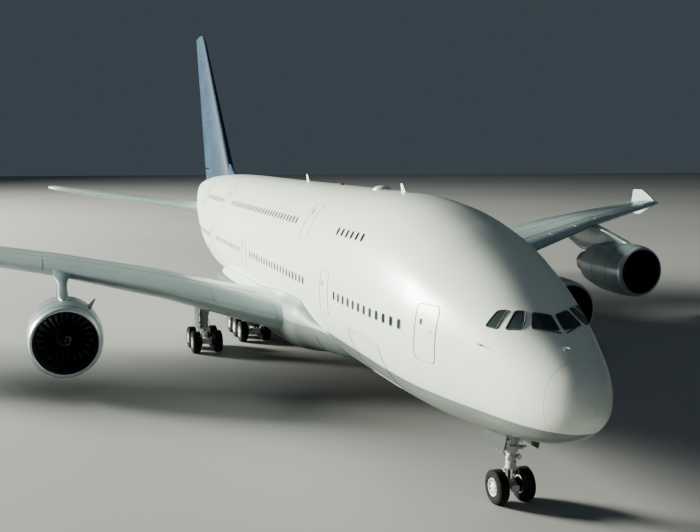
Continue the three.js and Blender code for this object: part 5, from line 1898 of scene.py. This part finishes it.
STEERED_HOSES = paired([((0.14, 0.04, 1.3), (0.2, 0.05, 0.72), (0.05, 0.16, 0))])

nose_leg = add_rods(Shape(), 0, NOSE_LEG_S, NOSE_LEG_ROWS)
for side in (STARBOARD, PORT):
    outline = [(side * SIDE_DOOR_X, NOSE_LEG_S + s, z) for s, z in SIDE_DOOR]
    nose_leg.slab(outline, (side * SIDE_DOOR_THICKNESS, 0, 0), 2)
# The side doors take the belly grey darkened as painted shade.
piece("nose_leg", nose_leg, [ENAMEL, CHROME, SHADED_BELLY_PAINT], "gear_steel", "nose_gear_leg")
piece("nose_lamps", add_rods(Shape(), 0, NOSE_LEG_S, NOSE_LAMP_ROWS), [LAMP], "cockpit_glass")
steered_leg = add_rods(Shape(), 0, NOSE_LEG_S, STEERED_ROWS)
for half, front, back, high in (TOW_LUG, TOW_PLATE):
    steered_leg.block((-half, NOSE_LEG_S + front, NOSE_Z - high), (half, NOSE_LEG_S + back, NOSE_Z + high))
piece("steered_leg", steered_leg, [ENAMEL, CHROME], "gear_steel", "nose_gear_steered_leg",
      body="nose_gear_steered")
nose_hoses = beads("nose_leg_hoses", hose_lines(0, NOSE_LEG_S, NOSE_HOSES), 0.016, HOSE)
settle(nose_hoses, "tyre_and_wheel")
steered_hoses = beads("steered_leg_hoses", hose_lines(0, NOSE_LEG_S, STEERED_HOSES), 0.014, HOSE)
settle(steered_hoses, "tyre_and_wheel", body="nose_gear_steered")

# %% [markdown]
# ## Doors that open
# The nose bay's forward doors are pieces of the keel, and the cargo doors of the starboard
# side, with ribs inside. All are drawn shut, because the frame turns them by their hinges.

# %% Nose bay doors and cargo doors
NOSE_DOOR_FRONT, NOSE_DOOR_BACK, NOSE_DOOR_INNER, NOSE_DOOR_OUTER = 1.95, 4.15, 0.014, 0.706
KEEL_SKIN, KEEL_RIB = (0.0, -0.05), (-0.045, -0.11)


def keel_z(x, s, out=0.0):
    half, bottom, _, wide = hull_frame(s)
    power = HULL_POWERS[1]
    return wide - (wide - bottom + out) * (1 - (abs(x) / (half + out)) ** power) ** (1 / power)


def keel_panel(shape, x_range, s_range, outer, inner, ink=0):
    across = np.linspace(*x_range, 9)
    rings = []
    for s in np.linspace(*s_range, 14):
        under = [(x, s, keel_z(x, s, outer)) for x in across]
        rings.append(under + [(x, s, keel_z(x, s, inner)) for x in across[::-1]])
    return shape.loft(rings, True, ink)


def nose_door():
    front, back, inner, outer = NOSE_DOOR_FRONT, NOSE_DOOR_BACK, NOSE_DOOR_INNER, NOSE_DOOR_OUTER
    shape = keel_panel(Shape(), (inner, outer), (front, back), *KEEL_SKIN)
    for s in np.linspace(front + 0.2, back - 0.2, 5):
        keel_panel(shape, (inner + 0.05, outer - 0.08), (s - 0.02, s + 0.02), *KEEL_RIB, 1)
    for x in (inner + 0.07, outer - 0.1):
        keel_panel(shape, (x - 0.015, x + 0.015), (front + 0.1, back - 0.1), -0.045, -0.1, 1)
    return shape


def cargo_door(front, back):
    shape = skin_panel(Shape(), cargo_outline(front, back), STARBOARD, 0.0, -0.09)
    low, high = CARGO_BOTTOM + 0.12, CARGO_TOP - 0.2
    for s in np.linspace(front + 0.3, back - 0.3, 6):
        rib = [(s - 0.03, low), (s + 0.03, low), (s + 0.03, high), (s - 0.03, high)]
        skin_panel(shape, rib, STARBOARD, -0.085, -0.118, 1)
    return shape


for hand_name, hand in HANDS.items():
    piece(f"nose_door_{hand_name}", handed(nose_door(), hand), [HULL_PAINT, LINER], "white_paint",
          f"nose_gear_door_{hand_name}", body=f"nose_gear_door_{hand_name}")
for door_name, (front, back) in CARGO_DOORS.items():
    piece(door_name + "_skin", cargo_door(front, back), [HULL_PAINT, LINER], "white_paint", door_name,
          body=door_name)

# %% [markdown]
# ## Aerials, probes and wipers
# Blade antennas stand on the crown and under the belly, probes and wipers by the windscreen.
# They are small, but they give the eye the scale, so they are real shapes on the real skin.

# %% Aerials, probes and wipers
CROWN_AERIALS, BELLY_AERIALS, DOME_S = [(15.5, 0.4), (31.1, 0.45)], (7.6, 10.2, 12.6), 18.3
DOME = [(0.46, -0.05), (0.44, 0.06), (0.33, 0.15), (0.16, 0.19), (0.01, 0.2)]
UP, DOWN = (0, 0, 1), (0, 0, -1)
# Columns: a point near the skin, the way out of it
SIDE_PROBE, NOSE_PROBE = ((2.19, 3.61, 6.27), (0.86, -0.5, 0)), ((-0.27, 1.38, 6.41), (-0.1, -0.5, 0.85))
WIPER_START, WIPER_WAY, WIPER_OUT = np.array((-0.1, 1.98, 6.82)), np.array((-0.72, 0.3, 0.16)), 0.035


def blade_antenna(shape, s, base, height, length=0.5):
    """A thin swept blade; a negative height hangs it under the belly."""
    corners = [(-0.5, 0), (0.5, 0), (0.7, 1), (0.3, 1)]
    outline = [(-0.02, s + along * length, base + up * height) for along, up in corners]
    return shape.slab(outline, (0.04, 0, 0))


def probe(shape, place, out):
    place, out = on_hull(place), np.array(out, float)
    shape.rod(place - out * 0.04, place + out * 0.1, 0.035, 10)
    tip = place + out * 0.09
    return shape.rod(tip + (0, 0.06, 0), tip + (0, -0.2, 0.02), 0.016, 8)


def crown(s):
    return hull_frame(s)[2] - 0.02


aerials = Shape()
for s, height in CROWN_AERIALS:
    blade_antenna(aerials, s, crown(s), height)
for s in BELLY_AERIALS:
    blade_antenna(aerials, s, hull_frame(s)[1] + 0.03, -0.26, 0.34)
aerials.turned(DOME, (0, DOME_S, crown(DOME_S)), UP, 28)
piece("aerials", aerials, [HULL_PAINT], "white_paint")
probes = Shape()
for row in (*sided([SIDE_PROBE], STARBOARD), *sided([SIDE_PROBE], PORT), NOSE_PROBE):
    probe(probes, *row)
piece("probes", probes, [CHROME], "gear_steel")
wiper = both_sides([on_hull(WIPER_START + WIPER_WAY * k / 6, WIPER_OUT) for k in range(7)])
settle(beads("wipers", wiper, 0.02, SOOT_BLACK_AND_SHADE), "cockpit_glass")

# %% [markdown]
# ## Lamps, wicks and exhaust
# Coloured lenses mark the wing tips, the tail and the two beacons. Thin wicks trail from the
# tips, and the small engine in the tail cone has its own exhaust.

# %% Lamps, wicks and exhaust
CROWN_BEACON = [(0.13, -0.03), (0.12, 0.05), (0.08, 0.11), (0.01, 0.13)]
BELLY_BEACON = [(0.13, -0.03), (0.12, 0.05), (0.08, 0.1), (0.01, 0.12)]
TAIL_LAMP = [(0.09, -0.02), (0.08, 0.05), (0.01, 0.09)]
EDGE_SHARE, TIP_LAMP_STATIONS, TIP_LAMP_RADIUS = 0.004, (38.2, 38.6), 0.075
EXHAUST_RIM = [(0.3, -0.1), (0.34, -0.1), (0.34, 0.05), (0.3, 0.07), (0.27, 0.05), (0.27, 0.02)]
EXHAUST_Z = 8.62
WICK_SHARE = 0.995

red = Shape().turned(CROWN_BEACON, (0, 24.5, crown(24.5)), UP, 20)
red.turned(BELLY_BEACON, (0, 26.0, 1.77), DOWN, 20)
green, clear = Shape(), Shape().turned(TAIL_LAMP, (0, TAIL_END - 0.06, 9.02), (0, 0.6, 0.8), 16)
for tip_lamp, hand in ((red, PORT), (green, STARBOARD)):
    tips = [WING.point(u, EDGE_SHARE, WING.mean(EDGE_SHARE)) * (hand, 1, 1) for u in TIP_LAMP_STATIONS]
    tip_lamp.rod(*tips, TIP_LAMP_RADIUS, 14)
for name, shape, finish in (("red_lamps", red, RED_LAMP), ("green_lamp", green, GREEN_LAMP),
                            ("tail_lamp", clear, LAMP)):
    piece(name, shape, [finish], "cockpit_glass")

wicks = []
for panel, stations in ((WING, (38.9, 39.3)), (TAILPLANE, (14.75, 15.0))):
    for u in stations:
        root = panel.point(u, WICK_SHARE, panel.mean(WICK_SHARE))
        wicks += both_sides([root, root + (0.02, 0.1, 0), root + (0.03, 0.2, -0.01)])
settle(beads("static_wicks", wicks, 0.008, SOOT_BLACK_AND_SHADE), "wing_paint")

exhaust = Shape().turned(EXHAUST_RIM, (0, TAIL_END, EXHAUST_Z), AFT, 28, 0, True)
exhaust.rod((0, TAIL_END - 0.1, EXHAUST_Z), (0, TAIL_END + 0.02, EXHAUST_Z), 0.3, 28, ink=1)
piece("tail_exhaust", exhaust, [HOT_METAL, SOOT_BLACK_AND_SHADE], "gear_steel")

# %% [markdown]
# ## Floor, light and camera
# A pale floor, soft light and one broad key lamp from starboard, low and a little behind, as
# in the photograph, so that the nose turns from bright to shade.

# %% Stage and lamps
FLOOR_HALF, FLOOR_SHADES = 400, ((0.38, 0.38, 0.37), (0.345, 0.345, 0.335))
SKY_COLOUR, SKY_STRENGTH = (0.62, 0.80, 0.98, 1), 0.075
# Columns: place, aim, watts, width in the frame's metres, colour
LAMPS = {
    "key": ((-194, 175, 60), (0, 28, 5), 820000, 34, (0.98, 1.0, 0.88)),
    "overhead": ((-20, 0, 75), (0, 30, 6), 700, 40, (0.80, 0.92, 1.0)),
}


def place_in_frame(point):
    return Vector(to_frame([point])[0])


def stage_floor():
    finish = Finish("floor", Roughness=0.75)
    cloudy = finish.noise(0.05, 4).ramp(0.3, 0.7)
    finish.feed("Base Color", finish.mix(cloudy, *FLOOR_SHADES))
    near, far = -FLOOR_HALF, FLOOR_HALF
    corners = [(near, near, 0), (far, near, 0), (far, far + LENGTH, 0), (near, far + LENGTH, 0)]
    build("floor", Shape().add(corners, [[0, 1, 2, 3]]), [finish.material])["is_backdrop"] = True


def sky():
    world = bpy.data.worlds.new("studio")
    world.use_nodes = True
    background = world.node_tree.nodes["Background"].inputs
    background["Color"].default_value = SKY_COLOUR
    background["Strength"].default_value = SKY_STRENGTH
    bpy.context.scene.world = world


def lamp(name, place, aim, energy, size, colour):
    data = bpy.data.lights.new(name, "AREA")
    data.energy, data.shape, data.size, data.color = energy, "DISK", size, colour
    made = bpy.data.objects.new(name, data)
    made.location = place_in_frame(place)
    way = place_in_frame(aim) - made.location
    made.rotation_euler = way.to_track_quat("-Z", "Y").to_euler()
    bpy.context.scene.collection.objects.link(made)


stage_floor()
sky()
for lamp_name, settings in LAMPS.items():
    lamp(lamp_name, *settings)
print("lamps", list(LAMPS))

# %% [markdown]
# The camera stands where the photograph was taken from: its place, angles and lens were
# fitted to points on the airliner. Three vectors aim it, which is easier to check than Euler
# angles.

# %% The photograph's camera
CAMERA_PLACE = (-15.516, -22.227, 12.513)
CAMERA_YAW, CAMERA_PITCH, CAMERA_ROLL = [math.radians(a) for a in (-18.908, 7.254, 0.180)]
FOCAL_PIXELS, IMAGE_WIDTH = 888.4, 700
SENSOR_WIDTH, VIEW_DISTANCE = 36, 2000


def photo_camera():
    data = bpy.data.cameras.new("camera")
    data.sensor_width = SENSOR_WIDTH
    data.lens = SENSOR_WIDTH * FOCAL_PIXELS / IMAGE_WIDTH
    data.clip_end = VIEW_DISTANCE
    level_share = math.cos(CAMERA_PITCH)
    ahead = Vector((-math.sin(CAMERA_YAW) * level_share, math.cos(CAMERA_YAW) * level_share,
                    -math.sin(CAMERA_PITCH)))
    level = ahead.cross(Vector(UP)).normalized()
    upright = level.cross(ahead)
    right = level * math.cos(CAMERA_ROLL) + upright * math.sin(CAMERA_ROLL)
    made = bpy.data.objects.new("camera", data)
    made.matrix_world = Matrix((right, right.cross(ahead), -ahead)).transposed().to_4x4()
    made.location = place_in_frame(CAMERA_PLACE)
    bpy.context.scene.collection.objects.link(made)
    bpy.context.scene.camera = made


photo_camera()
print("lens", round(bpy.context.scene.camera.data.lens, 1), "mm")

# %% [markdown]
# ## Sizes and the end
# The fine skin must stay inside the CAD model's box, so the box of what is drawn is printed.

# %% Write the sizes and finish
low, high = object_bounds()
print("visual box", [round(v, 3) for v in (*low, *high)])
